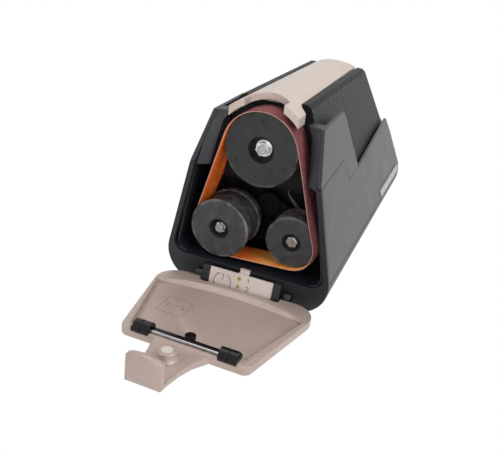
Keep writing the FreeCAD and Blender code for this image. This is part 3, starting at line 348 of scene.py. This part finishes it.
# near-black skin with a fine grid of raised dots on its sloping sides
def dottedSkin(name):
    finish = Finish(name, rough=0.52, specular=0.18)
    axes = finish.split()
    wave = 2 * math.pi / (dots["pitch"] * mm)
    alongDepth = finish.math("SINE", finish.math("MULTIPLY", axes["Y"], wave))
    alongHeight = finish.math("SINE", finish.math("MULTIPLY", axes["Z"], wave))
    raised = finish.math("MAXIMUM", finish.math("MULTIPLY", alongDepth, alongHeight), 0.0)
    sloping = finish.math("GREATER_THAN", finish.sideways(), dots["steep"])
    grid = finish.math("MULTIPLY", raised, sloping)
    start, full = dots["fade"]
    finish.colour(finish.ramp(grid, [(0.0, dots["dark"]), (start, dots["dark"]), (full, dots["light"])]))
    grain = finish.noise(dots["grain"], detail=2.0)
    finish.bump([(grid, *dots["relief"]), (grain, *dots["grainRelief"])], edge=0.6)
    return finish


gritLook = {
    "tones": [(0.30, (0.085, 0.020, 0.024)), (0.5, (0.20, 0.060, 0.062)), (0.72, (0.40, 0.17, 0.17))],
    "grains": 1300.0,
    "relief": (0.3, 0.9),
}


# maroon grit on the belt's outside
def gritSkin(name):
    finish = Finish(name, rough=0.82, specular=0.2)
    grains = finish.noise(gritLook["grains"], detail=5.0, rough=0.75)
    finish.colour(finish.ramp(grains, gritLook["tones"]))
    finish.bump([(grains, *gritLook["relief"])])
    return finish


clothLook = {
    "tones": [(0.3, (0.66, 0.105, 0.012)), (0.52, (0.84, 0.17, 0.02)), (0.72, (0.92, 0.27, 0.06))],
    "stain": 90.0,
    "pale": (0.96, 0.46, 0.11),
    "paleAcross": (-6.0, 18.0),
    "streaks": 60.0,
    "streakShare": (0.30, 0.55),
    "weave": 2600.0,
    "relief": (0.05, 0.4),
}


# orange backing on the belt's inside, yellower on the right
def clothSkin(name):
    finish = Finish(name, rough=0.75, specular=0.2)
    stained = finish.ramp(finish.noise(clothLook["stain"], detail=5.0, rough=0.65), clothLook["tones"])
    toRight = finish.band(finish.split()["X"], *(x * mm for x in clothLook["paleAcross"]))
    streaks = finish.band(finish.noise(clothLook["streaks"]), *clothLook["streakShare"])
    finish.colour(finish.mix(finish.math("MULTIPLY", toRight, streaks), stained, clothLook["pale"]))
    finish.bump([(finish.noise(clothLook["weave"], detail=2.0), *clothLook["relief"])])
    return finish


edgeLook = {
    "tone": (0.60, 0.36, 0.30),
    "dull": 0.75,
    "fade": (0.35, 0.65),
    "fray": 900.0,
    "relief": (0.1, 0.5),
}


# pale cut edge of the belt's cloth
def frayedEdge(name):
    finish = Finish(name, rough=0.8, specular=0.2)
    fray = finish.noise(edgeLook["fray"], detail=4.0, rough=0.7)
    tones = (scaled(edgeLook["tone"], edgeLook["dull"]), edgeLook["tone"])
    finish.colour(finish.ramp(fray, list(zip(edgeLook["fade"], tones))))
    finish.bump([(fray, *edgeLook["relief"])])
    return finish


wheelLook = {
    "dark": (0.013, 0.014, 0.015),
    "rub": (0.085, 0.085, 0.085),
    "smudge": 170.0,
    "smudgeTones": [(0.35, 1.0), (0.6, 1.7), (0.8, 2.8)],
    "rubBand": (2.0, 0.2),  # how far in from the rim the rubbing starts and is full
    "rubShare": (0.42, 0.62),
    # painted shade for the hub's recess: its near-black colour and the mm over which it fades in
    "hubShade": (0.0015, 0.0015, 0.0015),
    "hubShadeFade": 0.3,
    "ringPitch": 0.55,
    "ringRelief": (0.015, 0.5),
    "rough": 0.42,
    "roughSpan": 0.2,
    "grain": 2400.0,
    "grainRelief": (0.06, 0.6),
}


# matte black wheel: rubbed rim, faint turning rings, dull smudges and near-black painted shade in the
# recess round the hub
def wheelFinish(name, pulley, dark=wheelLook["dark"], rub=wheelLook["rub"]):
    finish = Finish(name, rough=0.55, specular=0.4)
    x, z = pulley["at"]
    reach = finish.distance(place(x, 0.0, z), (1, 0, 1))
    smudge = finish.noise(wheelLook["smudge"], detail=5.0, rough=0.65)
    body = finish.ramp(smudge, [(at, scaled(dark, gain)) for at, gain in wheelLook["smudgeTones"]])
    rim = finish.band(reach, *((pulley["rim"] - inset) * mm for inset in wheelLook["rubBand"]))
    rubbed = finish.math("MULTIPLY", rim, finish.band(smudge, *wheelLook["rubShare"]))
    # painted shade: inside the hub's radius the wheel is coloured near black
    hubShade = finish.band(reach, pulley["hub"] * mm, (pulley["hub"] - wheelLook["hubShadeFade"]) * mm)
    finish.colour(finish.mix(hubShade, finish.mix(rubbed, body, rub), wheelLook["hubShade"]))
    rings = finish.math("SINE", finish.math("MULTIPLY", reach, 2 * math.pi / (wheelLook["ringPitch"] * mm)))
    finish.roughness(finish.math("MULTIPLY_ADD", smudge, wheelLook["roughSpan"], wheelLook["rough"]))
    grain = finish.noise(wheelLook["grain"], detail=2.0, rough=0.6)
    finish.bump([(rings, *wheelLook["ringRelief"]), (grain, *wheelLook["grainRelief"])], edge=0.4)
    return finish


turning = {"stretch": (0.4, 4.0, 0.4), "fade": (0.3, 0.7), "relief": (0.05, 0.5), "edge": 0.2}


# turned or drawn metal; scratch is the streaks' scale and dull their darkest share of the tint
def turnedMetal(name, tint, rough, metal=1.0, scratch=900.0, dull=0.55):
    finish = Finish(name, rough, metal)
    streak = finish.noise(scratch, detail=4.0, rough=0.65, stretch=turning["stretch"])
    finish.colour(finish.ramp(streak, list(zip(turning["fade"], (scaled(tint, dull), tint)))))
    finish.bump([(streak, *turning["relief"])], turning["edge"])
    return finish


marking = {"cloud": 900.0, "grain": 2600.0, "relief": (0.02, 0.3)}


# small printed or moulded marks
def inkFinish(name, dark, light, rough):
    finish = Finish(name, rough, specular=0.4)
    finish.colour(finish.cloud(dark, light, marking["cloud"], detail=3.0, low=0.35, high=0.65))
    finish.bump([(finish.noise(marking["grain"], detail=2.0), *marking["relief"])])
    return finish


guideLook = {
    "dark": (0.008, 0.009, 0.013),
    "light": (0.013, 0.014, 0.020),
    # painted light: the outer sides' lighter grey, and how far a surface must face sideways to get it
    "outer": (0.060, 0.059, 0.066),
    "sideLightFade": (0.90, 0.96),
    "grain": 0.3,
    "edge": 0.8,
}


# painted light: the guides' flat outer sides are coloured a lighter grey than their fronts, for the light
# that falls on them
def guideFinish(name):
    finish = Finish(name, rough=0.44, specular=0.45)
    coat = finish.cloud(guideLook["dark"], guideLook["light"], moulding["cloud"])
    # painted light: surfaces facing sideways get the lighter grey
    outer = finish.band(finish.sideways(), *guideLook["sideLightFade"])
    finish.colour(finish.mix(outer, coat, guideLook["outer"]))
    fine = finish.noise(moulding["grain"], detail=2.0, rough=0.6)
    finish.bump([(fine, moulding["grainHeight"], guideLook["grain"])], guideLook["edge"])
    return finish


def grey(value):
    return (value, value, value)


# the finish of each slot, with what differs from the usual
mouldings = {
    "shell_black": {
        "name": "black shell", "dark": (0.007, 0.008, 0.011), "light": (0.012, 0.013, 0.018),
        "rough": 0.44, "grain": 0.35, "edge": 0.6, "specular": 0.38,
    },
    # painted light: the side skin is coloured lighter than the black shell, for the light that falls on the
    # sides
    "side_black": {
        "name": "side skin", "dark": (0.020, 0.020, 0.024), "light": (0.030, 0.030, 0.036),
        "rough": 0.42, "grain": 0.3, "specular": 0.75,
    },
    "grit_belt": {
        "name": "plain belt", "dark": (0.20, 0.06, 0.06), "light": (0.26, 0.08, 0.08),
        "rough": 0.8,
    },
    "gloss_black": {
        "name": "gloss black", "dark": grey(0.003), "light": grey(0.006),
        "rough": 0.2, "grain": 0.08, "specular": 0.22,
    },
    "foot_rubber": {
        "name": "foot rubber", "dark": grey(0.02), "light": grey(0.03),
        "rough": 0.85, "grain": 0.8, "edge": 0.3,
    },
    "lamp_olive": {
        "name": "olive lamp", "dark": (0.20, 0.20, 0.13), "light": (0.34, 0.34, 0.24),
        "rough": 0.22, "grain": 0.1, "edge": 0.2,
    },
    "board_green": {
        "name": "green board", "dark": (0.01, 0.10, 0.04), "light": (0.02, 0.15, 0.06),
        "rough": 0.4, "grain": 0.2, "edge": 0.1,
    },
    "fan_white": {
        "name": "fan white", "dark": (0.66, 0.66, 0.63), "light": (0.74, 0.74, 0.71),
        "rough": 0.5, "grain": 0.3, "edge": 0.2,
    },
    "belt_rubber": {
        "name": "drive rubber", "dark": grey(0.012), "light": grey(0.02),
        "rough": 0.8, "grain": 0.8, "edge": 0.1,
    },
}
metals = {
    "zinc_steel": {
        "name": "zinc steel", "tint": (0.88, 0.88, 0.87),
        "rough": 0.32, "metal": 0.85, "scratch": 700.0, "dull": 0.5,
    },
    "shaft_steel": {"name": "ground steel", "tint": grey(0.60), "rough": 0.28},
    "magnet_silver": {
        "name": "magnet nickel", "tint": (0.72, 0.68, 0.58),
        "rough": 0.42, "metal": 0.5, "scratch": 500.0, "dull": 0.75,
    },
    "plate_silver": {
        "name": "name plate", "tint": grey(0.50),
        "rough": 0.42, "metal": 0.7, "scratch": 400.0, "dull": 0.8,
    },
    "motor_steel": {"name": "plated can", "tint": (0.55, 0.55, 0.56), "rough": 0.35, "metal": 0.8},
    "bearing_steel": {"name": "bearing steel", "tint": (0.60, 0.60, 0.61), "rough": 0.3},
}
paints = {
    "champagne": {
        "name": "champagne spine", "dark": (0.50, 0.412, 0.36), "light": (0.56, 0.47, 0.415),
        "edge": 0.6,
    },
    "cover_champagne": {
        "name": "champagne cover", "dark": (0.395, 0.305, 0.265), "light": (0.45, 0.355, 0.31),
        "edge": 0.9, "lugs": hingeLugs,
    },
}
finishes = {
    "casing_dotted": dottedSkin("dotted casing"),
    "pulley_black": wheelFinish("top wheel", pulleys["top"]),
}
for looks, maker in ((mouldings, mouldedPlastic), (metals, turnedMetal), (paints, fleckedPaint)):
    for slotName, look in looks.items():
        finishes[slotName] = maker(**look)

# pieces whose finish differs from that of their slot
# painted shade: a darker copy of the black plastic for the parts inside the chamber and at the hinge
shadedInnerBlack = mouldedPlastic(
    "inner black", grey(0.003), grey(0.005), rough=0.6, grain=0.3, edge=0.4, specular=0.15
)
paleTones = ((0.60, 0.52, 0.475), (0.68, 0.59, 0.545))
ownFinish = {
    "button_panel": fleckedPaint("champagne panel", *paleTones, edge=0.25),
    "power_button": fleckedPaint("champagne button", *paleTones, edge=0.15),
    "drive_pulley": wheelFinish(
        "drive wheel", pulleys["drive"], dark=(0.030, 0.030, 0.032), rub=(0.20, 0.195, 0.19)
    ),
    "idler_pulley": wheelFinish(
        "idler wheel", pulleys["idler"], dark=(0.026, 0.026, 0.028), rub=grey(0.15)
    ),
    "bulkhead": shadedInnerBlack,
    "hinge_pin_left": shadedInnerBlack,
    "hinge_pin_right": shadedInnerBlack,
    "tension_arm": shadedInnerBlack,
    "tension_pivot": shadedInnerBlack,
    "guide_right": guideFinish("right guide"),
    "guide_left": guideFinish("left guide"),
    "edge_rod": turnedMetal("guide rod", (0.40, 0.40, 0.41), rough=0.18, dull=0.5),
    "tension_spring": turnedMetal("spring leaf", (0.16, 0.16, 0.17), rough=0.4, metal=0.6),
}

slotOf = {entry["node"]: entry["material_slot"] for entry in frame["record"]["subparts"]}
for nodeName, thing in frame["nodes"].items():
    finish = ownFinish.get(nodeName, finishes[slotOf[nodeName]])
    for materialSlot in thing.material_slots:
        materialSlot.material = finish.material

print("stage: marks on the panel")


def addPiece(name, vertices, faces, finish, body, slot, smooth=False):
    mesh = bpy.data.meshes.new(name)
    mesh.from_pydata(vertices, [], faces)
    mesh.validate()
    if smooth:
        mesh.polygons.foreach_set("use_smooth", [True] * len(mesh.polygons))
    mesh.materials.append(finish.material)
    piece = bpy.data.objects.new(name, mesh)
    scene.collection.objects.link(piece)
    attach(piece, body)
    return piece


# strips of one width along flat strokes, as low closed bars; spot(x, y, h) gives the place
def strokes(lines, width, low, high, spot):
    vertices, faces = [], []
    for line in lines:
        points = [Vector(p) for p in line]
        closed = (points[0] - points[-1]).length < 1e-6
        first = len(vertices)
        for i, here in enumerate(points):
            before = points[i - 1] if i else (points[-2] if closed else here)
            after = points[i + 1] if i + 1 < len(points) else (points[1] if closed else here)
            heading = (after - before).normalized()
            side = Vector((-heading.y, heading.x)) * width / 2
            for h in (low, high):
                vertices.append(spot(here.x - side.x, here.y - side.y, h))
                vertices.append(spot(here.x + side.x, here.y + side.y, h))
        for i in range(len(points) - 1):
            a, b = first + 4 * i, first + 4 * i + 4
            faces += [(a + 2, a + 3, b + 3, b + 2), (a, b, b + 1, a + 1)]
            faces += [(a, a + 2, b + 2, b), (a + 1, b + 1, b + 3, a + 3)]
        a, b = first, first + 4 * (len(points) - 1)
        faces += [(a, a + 1, a + 3, a + 2), (b, b + 2, b + 3, b + 1)]
    return vertices, faces


def arc(x, y, radius, start, end, count=14):
    steps = [math.radians(start + (end - start) * i / count) for i in range(count + 1)]
    return [(x + radius * math.cos(a), y + radius * math.sin(a)) for a in steps]


# a number in strokes, drawn one unit high and scaled, with its lower left corner at x, y
def numeral(which, x, y, high):
    shapes = {
        1: [[(0.08, 0.80), (0.30, 1.0), (0.30, 0.0)]],
        2: [arc(0.30, 0.72, 0.28, 165, -35) + [(0.04, 0.0), (0.62, 0.0)]],
        3: [arc(0.28, 0.76, 0.24, 150, -90), arc(0.28, 0.26, 0.27, 90, -150)],
    }
    return [[(x + px * high, y + py * high) for px, py in line] for line in shapes[which]]


panel = {
    "top": (-13.1, -81.7),  # depth and height of its upper edge
    "tilt": math.radians(17.3),
    "symbol": (-12.6, -8.2),
    "symbolRadius": 6.1,
    "symbolTurn": (118, 422),
    "symbolSteps": 40,
    "tick": (5.0, 1.2),
    "lampX": -1.2,
    "lampDrops": (3.3, 8.7, 14.1),
    "rim": (1.35, 0.26),  # radius and thickness
    "numberX": 4.4,
    "numberHeight": 3.0,
    "line": 0.5,
    "inkLevels": (-0.03, 0.05),
}


def onPanel(x, y, h):
    lean, rise = math.sin(panel["tilt"]), math.cos(panel["tilt"])
    depth, height = panel["top"]
    return place(x, depth + y * lean - h * rise, height + y * rise + h * lean)


greyInk = inkFinish("grey ink", (0.10, 0.085, 0.08), (0.16, 0.14, 0.13), 0.5)


def printOnPanel(name, lines, body):
    bars = strokes(lines, panel["line"], *panel["inkLevels"], onPanel)
    addPiece(name, *bars, greyInk, body, "gloss_black")


symbolX, symbolY = panel["symbol"]
openRing = arc(symbolX, symbolY, panel["symbolRadius"], *panel["symbolTurn"], panel["symbolSteps"])
printOnPanel("standby_ring", [openRing], "housing")
printOnPanel("standby_tick", [[(symbolX, symbolY + end) for end in panel["tick"]]], "button")
stageNumbers = []
for which, drop in enumerate(panel["lampDrops"], 1):
    numberFoot = -drop - panel["numberHeight"] / 2
    stageNumbers += numeral(which, panel["numberX"], numberFoot, panel["numberHeight"])
printOnPanel("stage_numbers", stageNumbers, "housing")


# a ring of round section about a point, for lamps, dimples and thread ends
def ring(spot, x, y, radius, thick, low=0.0, count=28, across=8):
    vertices, faces = [], []
    for i in range(count):
        a = 2 * math.pi * i / count
        for j in range(across):
            b = 2 * math.pi * j / across
            reach, h = radius + thick * math.cos(b), low + thick * math.sin(b)
            vertices.append(spot(x + reach * math.cos(a), y + reach * math.sin(a), h))
    for i in range(count):
        for j in range(across):
            k, m = (i + 1) % count, (j + 1) % across
            faces.append((i * across + j, k * across + j, k * across + m, i * across + m))
    return vertices, faces


def joined(parts):
    vertices, faces = [], []
    for points, loops in parts:
        base = len(vertices)
        vertices += points
        faces += [tuple(i + base for i in loop) for loop in loops]
    return vertices, faces


limeRim = inkFinish("lime rim", (0.42, 0.45, 0.04), (0.62, 0.64, 0.12), 0.35)
lampRings = [ring(onPanel, panel["lampX"], -drop, *panel["rim"]) for drop in panel["lampDrops"]]
addPiece("lamp_rims", *joined(lampRings), limeRim, "housing", "lamp_olive", True)

print("stage: tray of the open cover")

# distances from the hinge, half widths and depth of the tray's edge
cover = {
    "open": math.radians(85.5),
    "rimHeight": 0.1,
    "crest": 10.6,
    "farHalf": 50.5,
    "nearHalf": 35.6,
    "far": 24.2,
    "near": 78.7,
    "depth": 3.0,
}


# x, distance from the hinge and height above the rim, on the cover as it hangs open
def onCover(x, away, h):
    sine, cosine = math.sin(cover["open"]), math.cos(cover["open"])
    depth, height = hingeAt
    out = h - cover["rimHeight"]
    return place(x, depth - sine * away + cosine * out, height + cosine * away + sine * out)


def addToCover(name, vertices, faces, finish, smooth=False):
    addPiece(name, vertices, faces, finish, "cover", "cover_champagne", smooth)


# soft start and end between 0 and 1
def eased(t):
    return t * t * (3 - 2 * t)


coverFinish = finishes["cover_champagne"]
archHigh = cover["far"] - cover["crest"]
archRadius = (cover["farHalf"] ** 2 + archHigh ** 2) / (2 * archHigh)


# distance from the hinge to the tray's arched far edge
def crestAt(x):
    return cover["crest"] + archRadius - math.sqrt(archRadius ** 2 - x ** 2)


# the far side of the tray runs down to the floor in a slope, widest in the middle
slope = {
    "half": 47.0,
    "wide": 6.6,
    "least": 0.5,
    "overlap": 0.15,
    "proud": 0.02,
    "sunk": 0.05,
    "columns": 48,
    "rows": 8,
}


def traySlope():
    vertices, faces = [], []
    columns, rows = slope["columns"], slope["rows"]
    drop = cover["depth"] - slope["proud"]
    for i in range(columns + 1):
        x = -cover["farHalf"] + 2 * cover["farHalf"] * i / columns
        width = slope["least"] + slope["wide"] * max(0.0, 1 - (x / slope["half"]) ** 2)
        start = crestAt(x) - slope["overlap"]
        for j in range(rows + 1):
            vertices.append(onCover(x, start + width * j / rows, slope["proud"] - drop * eased(j / rows)))
        vertices.append(onCover(x, start, -cover["depth"] - slope["sunk"]))
    stride = rows + 2
    for i in range(columns):
        for j in range(stride):
            a, b = i * stride + j, i * stride + (j + 1) % stride
            faces.append((a, b, b + stride, a + stride))
    faces.append(tuple(range(stride)))
    faces.append(tuple(reversed(range(columns * stride, columns * stride + stride))))
    return vertices, faces


addToCover("tray_slope", *traySlope(), coverFinish, True)

# narrow ridges that edge the tray's two sides
ridge = {"wide": 0.85, "high": 0.75, "sunk": -0.2, "inward": 0.1, "beyond": 0.4}
ridgeLines = []
for sign in (-1, 1):
    far = (sign * (cover["farHalf"] + ridge["wide"] / 2 - ridge["inward"]), cover["far"] + ridge["beyond"])
    near = (sign * (cover["nearHalf"] + ridge["wide"] / 2), cover["near"])
    ridgeLines.append([far, near])
ridgeBars = strokes(ridgeLines, ridge["wide"], ridge["sunk"], ridge["high"], onCover)
addToCover("tray_ridges", *ridgeBars, coverFinish)

# an outlined place with plain numbers, moulded on the tray's floor; its lines are darker strips of painted
# shade for the grooves
trayBox = {
    "left": -34.5,
    "right": -17.0,
    "far": 37.6,
    "near": 54.6,
    "line": 0.34,
    "levels": (-0.1, 0.12),
    "margin": 2.6,
    "pitch": 5.0,
    "numberHeight": 4.0,
}


def onTray(x, y, h):
    return onCover(x, -y, h - cover["depth"])


def trayLines():
    left, right, far, near = (trayBox[side] for side in ("left", "right", "far", "near"))
    lines = [[(left, -far), (right, -far), (right, -near), (left, -near), (left, -far)]]
    for which in (1, 2, 3):
        x = left + trayBox["margin"] + trayBox["pitch"] * (which - 1)
        foot = -(far + near) / 2 - trayBox["numberHeight"] / 2
        lines += numeral(which, x, foot, trayBox["numberHeight"])
    return lines


# painted shade: a darker champagne for the grooves' lines
grooveShade = inkFinish("moulded line", (0.20, 0.155, 0.135), (0.27, 0.21, 0.18), 0.5)
trayBars = strokes(trayLines(), trayBox["line"], *trayBox["levels"], onTray)
addToCover("tray_outline", *trayBars, grooveShade)

# the arm rises a little towards its tab and thins out, and the tab bows; measured as in onCover
coverArm = {
    "start": 86.0,
    "bossAway": 102.2,
    "end": 127.2,
    "bossRise": 1.8,
    "endRise": 2.3,
    "underside": -0.6,
    "thin": 2.4,
    "topside": 0.2,
    "tallFrom": 115,  # where the low boss ends and the tall tab begins
    "fades": (7.0, 14.0),  # heights at which the rise has died out, on the boss and on the tab
    "tabAway": 119.0,
    "tabBow": 1.6,
    "tabHalf": 10.0,
}


# what onCover does, undone
def fromCover(point):
    local = point / mm
    y, z = local.y + depthShift - hingeAt[0], local.z - lift - hingeAt[1]
    sine, cosine = math.sin(cover["open"]), math.cos(cover["open"])
    return local.x, cosine * z - sine * y, cosine * y + sine * z + cover["rimHeight"]


def armRise(away):
    if away < coverArm["bossAway"]:
        t = max(0.0, (away - coverArm["start"]) / (coverArm["bossAway"] - coverArm["start"]))
        return coverArm["bossRise"] * eased(t)
    t = (away - coverArm["bossAway"]) / (coverArm["end"] - coverArm["bossAway"])
    return coverArm["bossRise"] + (coverArm["endRise"] - coverArm["bossRise"]) * t


def reshapedCover(point):
    x, away, h = fromCover(point)
    if away <= coverArm["start"]:
        return point
    if h < coverArm["underside"]:
        h += coverArm["thin"] * (away - coverArm["start"]) / (coverArm["end"] - coverArm["start"])
    fade = coverArm["fades"][away >= coverArm["tallFrom"]]
    h += armRise(away) * max(0.0, min(1.0, 1 - (h - coverArm["topside"]) / fade))
    if away > coverArm["tabAway"]:
        away -= coverArm["tabBow"] * (x / coverArm["tabHalf"]) ** 2
    return onCover(x, away, h)


# millimetres and angles
rounding = {
    "radius": 0.7,
    "segments": 3,
    "sharp": math.radians(38),
    "flat": math.radians(1.0),
    "weld": 0.01,
}


# a piece with the shape of a node, bent by reshape and its corners rounded, that stands for the node
def roundedNode(name, node, finish, body, reshape):
    source = frame["nodes"][node]
    sheet = bmesh.new()
    sheet.from_mesh(source.data)
    sheet.transform(source.matrix_world)
    bmesh.ops.remove_doubles(sheet, verts=sheet.verts, dist=rounding["weld"] * mm)
    bmesh.ops.dissolve_limit(sheet, angle_limit=rounding["flat"], verts=sheet.verts, edges=sheet.edges)
    bmesh.ops.triangulate(sheet, faces=sheet.faces)
    for vertex in sheet.verts:
        vertex.co = reshape(vertex.co)
    bmesh.ops.dissolve_limit(sheet, angle_limit=rounding["flat"], verts=sheet.verts, edges=sheet.edges)
    mesh = bpy.data.meshes.new(name)
    sheet.to_mesh(mesh)
    sheet.free()
    mesh.polygons.foreach_set("use_smooth", [True] * len(mesh.polygons))
    mesh.materials.clear()
    mesh.materials.append(finish.material)
    piece = bpy.data.objects.new(name, mesh)
    scene.collection.objects.link(piece)
    bevel = piece.modifiers.new("rounded corners", "BEVEL")
    bevel.width = rounding["radius"] * mm
    bevel.segments = rounding["segments"]
    bevel.limit_method = "ANGLE"
    bevel.angle_limit = rounding["sharp"]
    bevel.harden_normals = True
    bevel.use_clamp_overlap = True
    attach(piece, body)
    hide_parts(node)


roundedNode("cover_moulding", "front_cover", coverFinish, "cover", reshapedCover)

# sleeve with a rounded lip round the magnet's boss; radii and heights
bossSleeve = {
    "inner": 3.35,
    "outer": 5.3,
    "height": 7.45,
    "throat": 0.3,
    "lip": 0.8,
    "lipSteps": 6,
    "flare": 0.6,
    "foot": 6.6,
    "footHeight": 3.2,
    "footRound": 0.5,
    "sunk": -0.05,
}


def sleeveOutline():
    inner, outer, lip = bossSleeve["inner"], bossSleeve["outer"], bossSleeve["lip"]
    foot, footHeight, footRound = bossSleeve["foot"], bossSleeve["footHeight"], bossSleeve["footRound"]
    outline = [(inner, bossSleeve["height"] - bossSleeve["throat"])]
    outline += arc(outer - lip, bossSleeve["height"] - lip, lip, 90, 0, bossSleeve["lipSteps"])
    outline += [(outer, footHeight + bossSleeve["flare"]), (foot - footRound, footHeight)]
    outline += [(foot, footHeight - footRound), (foot, bossSleeve["sunk"]), (inner, bossSleeve["sunk"])]
    return outline


# a closed solid turned about an upright line on the cover
def turnedOnCover(x, away, outline, count=40):
    vertices, faces = [], []
    corners = len(outline)
    for i in range(count):
        angle = 2 * math.pi * i / count
        for radius, h in outline:
            vertices.append(onCover(x + radius * math.cos(angle), away + radius * math.sin(angle), h))
    for i in range(count):
        for j in range(corners):
            k, m = (i + 1) % count, (j + 1) % corners
            faces.append((i * corners + j, i * corners + m, k * corners + m, k * corners + j))
    return vertices, faces


addToCover("boss_sleeve", *turnedOnCover(0.0, coverArm["bossAway"], sleeveOutline()), coverFinish, True)

print("stage: abrasive belt")

belt = {
    "round": ("top", "idler", "drive"),
    "gap": 0.1,
    "thick": 0.75,
    "layers": (0.0, 0.55, 1.0),  # cloth face, where the cut edge ends, and grit face
    "front": -3.0,
    "width": 19.05,
    "shares": (0.0, 0.05, 0.1, 0.155, 0.3, 0.5, 0.7, 0.8, 0.9, 1.0),
    "turnSteps": 24,
    "runSteps": 16,
}
# the front edge leans in on the right run, the back edge on the left run
curl = {
    "front": 2.8,
    "overhang": 2.9,
    "frontPower": 1.4,
    "release": 1.35,
    "back": 2.6,
    "backFrom": 0.55,
    "backPower": 1.3,
    "stretch": 1.1,
    "lead": 0.05,
    "swell": 0.7,
}

# in the order of the piece's material slots
beltSkins = (gritSkin("maroon grit"), clothSkin("orange backing"), frayedEdge("cut edge"))
gritSlot, clothSlot, edgeSlot = range(len(beltSkins))


# centre, radius, outward direction, stretch and share of it along the loop, clockwise from the top
# wheel's left side; whole stretches are wheels and halves the runs after them
def beltPath():
    points = []
    circles = [(*pulleys[name]["at"], pulleys[name]["seat"]) for name in belt["round"]]
    tangents = []
    for i, (x1, z1, r1) in enumerate(circles):
        x2, z2, r2 = circles[(i + 1) % 3]
        span = math.hypot(x2 - x1, z2 - z1)
        tangents.append(math.atan2(z2 - z1, x2 - x1) + math.pi / 2 - math.asin((r1 - r2) / span))
    for i, (x, z, r) in enumerate(circles):
        arrive, leave = tangents[i - 1], tangents[i]
        sweep = (arrive - leave) % (2 * math.pi)
        for step in range(belt["turnSteps"] + 1):
            t = step / belt["turnSteps"]
            points.append((x, z, r, arrive - sweep * t, i, t))
        x2, z2, r2 = circles[(i + 1) % 3]
        for step in range(1, belt["runSteps"]):
            t = step / belt["runSteps"]
            points.append((x + (x2 - x) * t, z + (z2 - z) * t, r + (r2 - r) * t, leave, i + 0.5, t))
    return points


# how far the front and the back edge lean in at a share of a stretch
def leans(stretch, t):
    if stretch == 0.5:
        return curl["front"] * eased(t), 0.0
    if stretch == 1:
        return curl["front"] * max(0.0, 1 - curl["release"] * eased(t)), 0.0
    if stretch == 2.5:
        swell = math.sin(math.pi * min(1.0, t * curl["stretch"] + curl["lead"]))
        return 0.0, curl["back"] * swell ** curl["swell"]
    return 0.0, 0.0


def beltSolid():
    vertices, faces, faceSlots = [], [], []
    points = beltPath()
    last = len(belt["shares"]) - 1
    for x, z, r, angle, stretch, t in points:
        frontLean, backLean = leans(stretch, t)
        for layer in belt["layers"]:
            for share in belt["shares"]:
                ahead = max(0.0, 1 - belt["width"] * share / curl["overhang"]) ** curl["frontPower"]
                behind = max(0.0, (share - curl["backFrom"]) / (1 - curl["backFrom"])) ** curl["backPower"]
                reach = r + belt["gap"] + belt["thick"] * layer - frontLean * ahead - backLean * behind
                y = belt["front"] + belt["width"] * share
                vertices.append(place(x + reach * math.cos(angle), y, z + reach * math.sin(angle)))

    def corner(point, layer, share):
        return (point % len(points) * len(belt["layers"]) + layer) * (last + 1) + share

    def addFace(slot, *corners):
        faces.append([corner(*at) for at in corners])
        faceSlots.append(slot)

    for i in range(len(points)):
        k = i + 1
        for j in range(last):
            addFace(clothSlot, (i, 0, j), (i, 0, j + 1), (k, 0, j + 1), (k, 0, j))
            addFace(gritSlot, (i, 2, j), (k, 2, j), (k, 2, j + 1), (i, 2, j + 1))
        for layer, slot in ((0, edgeSlot), (1, gritSlot)):
            above = layer + 1
            addFace(slot, (i, layer, 0), (k, layer, 0), (k, above, 0), (i, above, 0))
            addFace(slot, (i, layer, last), (i, above, last), (k, above, last), (k, layer, last))
    return vertices, faces, faceSlots


beltVertices, beltFaces, beltSlots = beltSolid()
outerSkin, *otherSkins = beltSkins
beltPiece = addPiece("sanding_belt", beltVertices, beltFaces, outerSkin, "housing", "grit_belt", True)
for skin in otherSkins:
    beltPiece.data.materials.append(skin.material)
beltPiece.data.polygons.foreach_set("material_index", beltSlots)
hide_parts("abrasive_belt")

print("stage: marks on the pulleys and shaft ends")


# gives places on a face that looks to the front, about a pulley's centre
def onFront(pulley, face):
    centreX, centreZ = pulleys[pulley]["at"]

    def spot(x, y, h):
        return place(centreX + x, face - h, centreZ + y)

    return spot


# three small round marks pressed into a wheel's face, their rings coloured lighter grey as a painted
# highlight
wheelMarks = {
    "drive_marks": {"pulley": "drive", "face": -4.8, "reach": 15.5, "body": "drive_wheel"},
    "idler_marks": {"pulley": "idler", "face": 0.0, "reach": 13.5, "body": "idler_wheel"},
}
pressed = {"angles": (90, 210, 330), "radius": 1.15, "thick": 0.14}
# painted highlight: the marks' rings are a lighter grey than the wheel
markHighlight = inkFinish("pressed mark", (0.05, 0.05, 0.052), grey(0.09), 0.4)
for pieceName, mark in wheelMarks.items():
    rings = []
    for angle in map(math.radians, pressed["angles"]):
        x, y = mark["reach"] * math.cos(angle), mark["reach"] * math.sin(angle)
        rings.append(ring(onFront(mark["pulley"], mark["face"]), x, y, pressed["radius"], pressed["thick"]))
    addPiece(pieceName, *joined(rings), markHighlight, mark["body"], "pulley_black", True)

# a centre dimple and a turn of thread on each shaft's end: radius, thickness and height
shaftEnds = {
    "top_shaft_end": {"pulley": "top", "face": 0.7, "body": "housing"},
    "drive_shaft_end": {"pulley": "drive", "face": -3.8, "body": "drive_wheel"},
    "idler_shaft_end": {"pulley": "idler", "face": 0.4, "body": "swing_arm"},
}
endRings = ((1.15, 0.16, 0.0), (2.55, 0.2, -0.05))
threadShadow = turnedMetal("thread shadow", (0.22, 0.22, 0.21), 0.4, 0.8)
for pieceName, end in shaftEnds.items():
    rings = [ring(onFront(end["pulley"], end["face"]), 0.0, 0.0, *sizes) for sizes in endRings]
    addPiece(pieceName, *joined(rings), threadShadow, end["body"], "shaft_steel", True)

print("stage: closing")
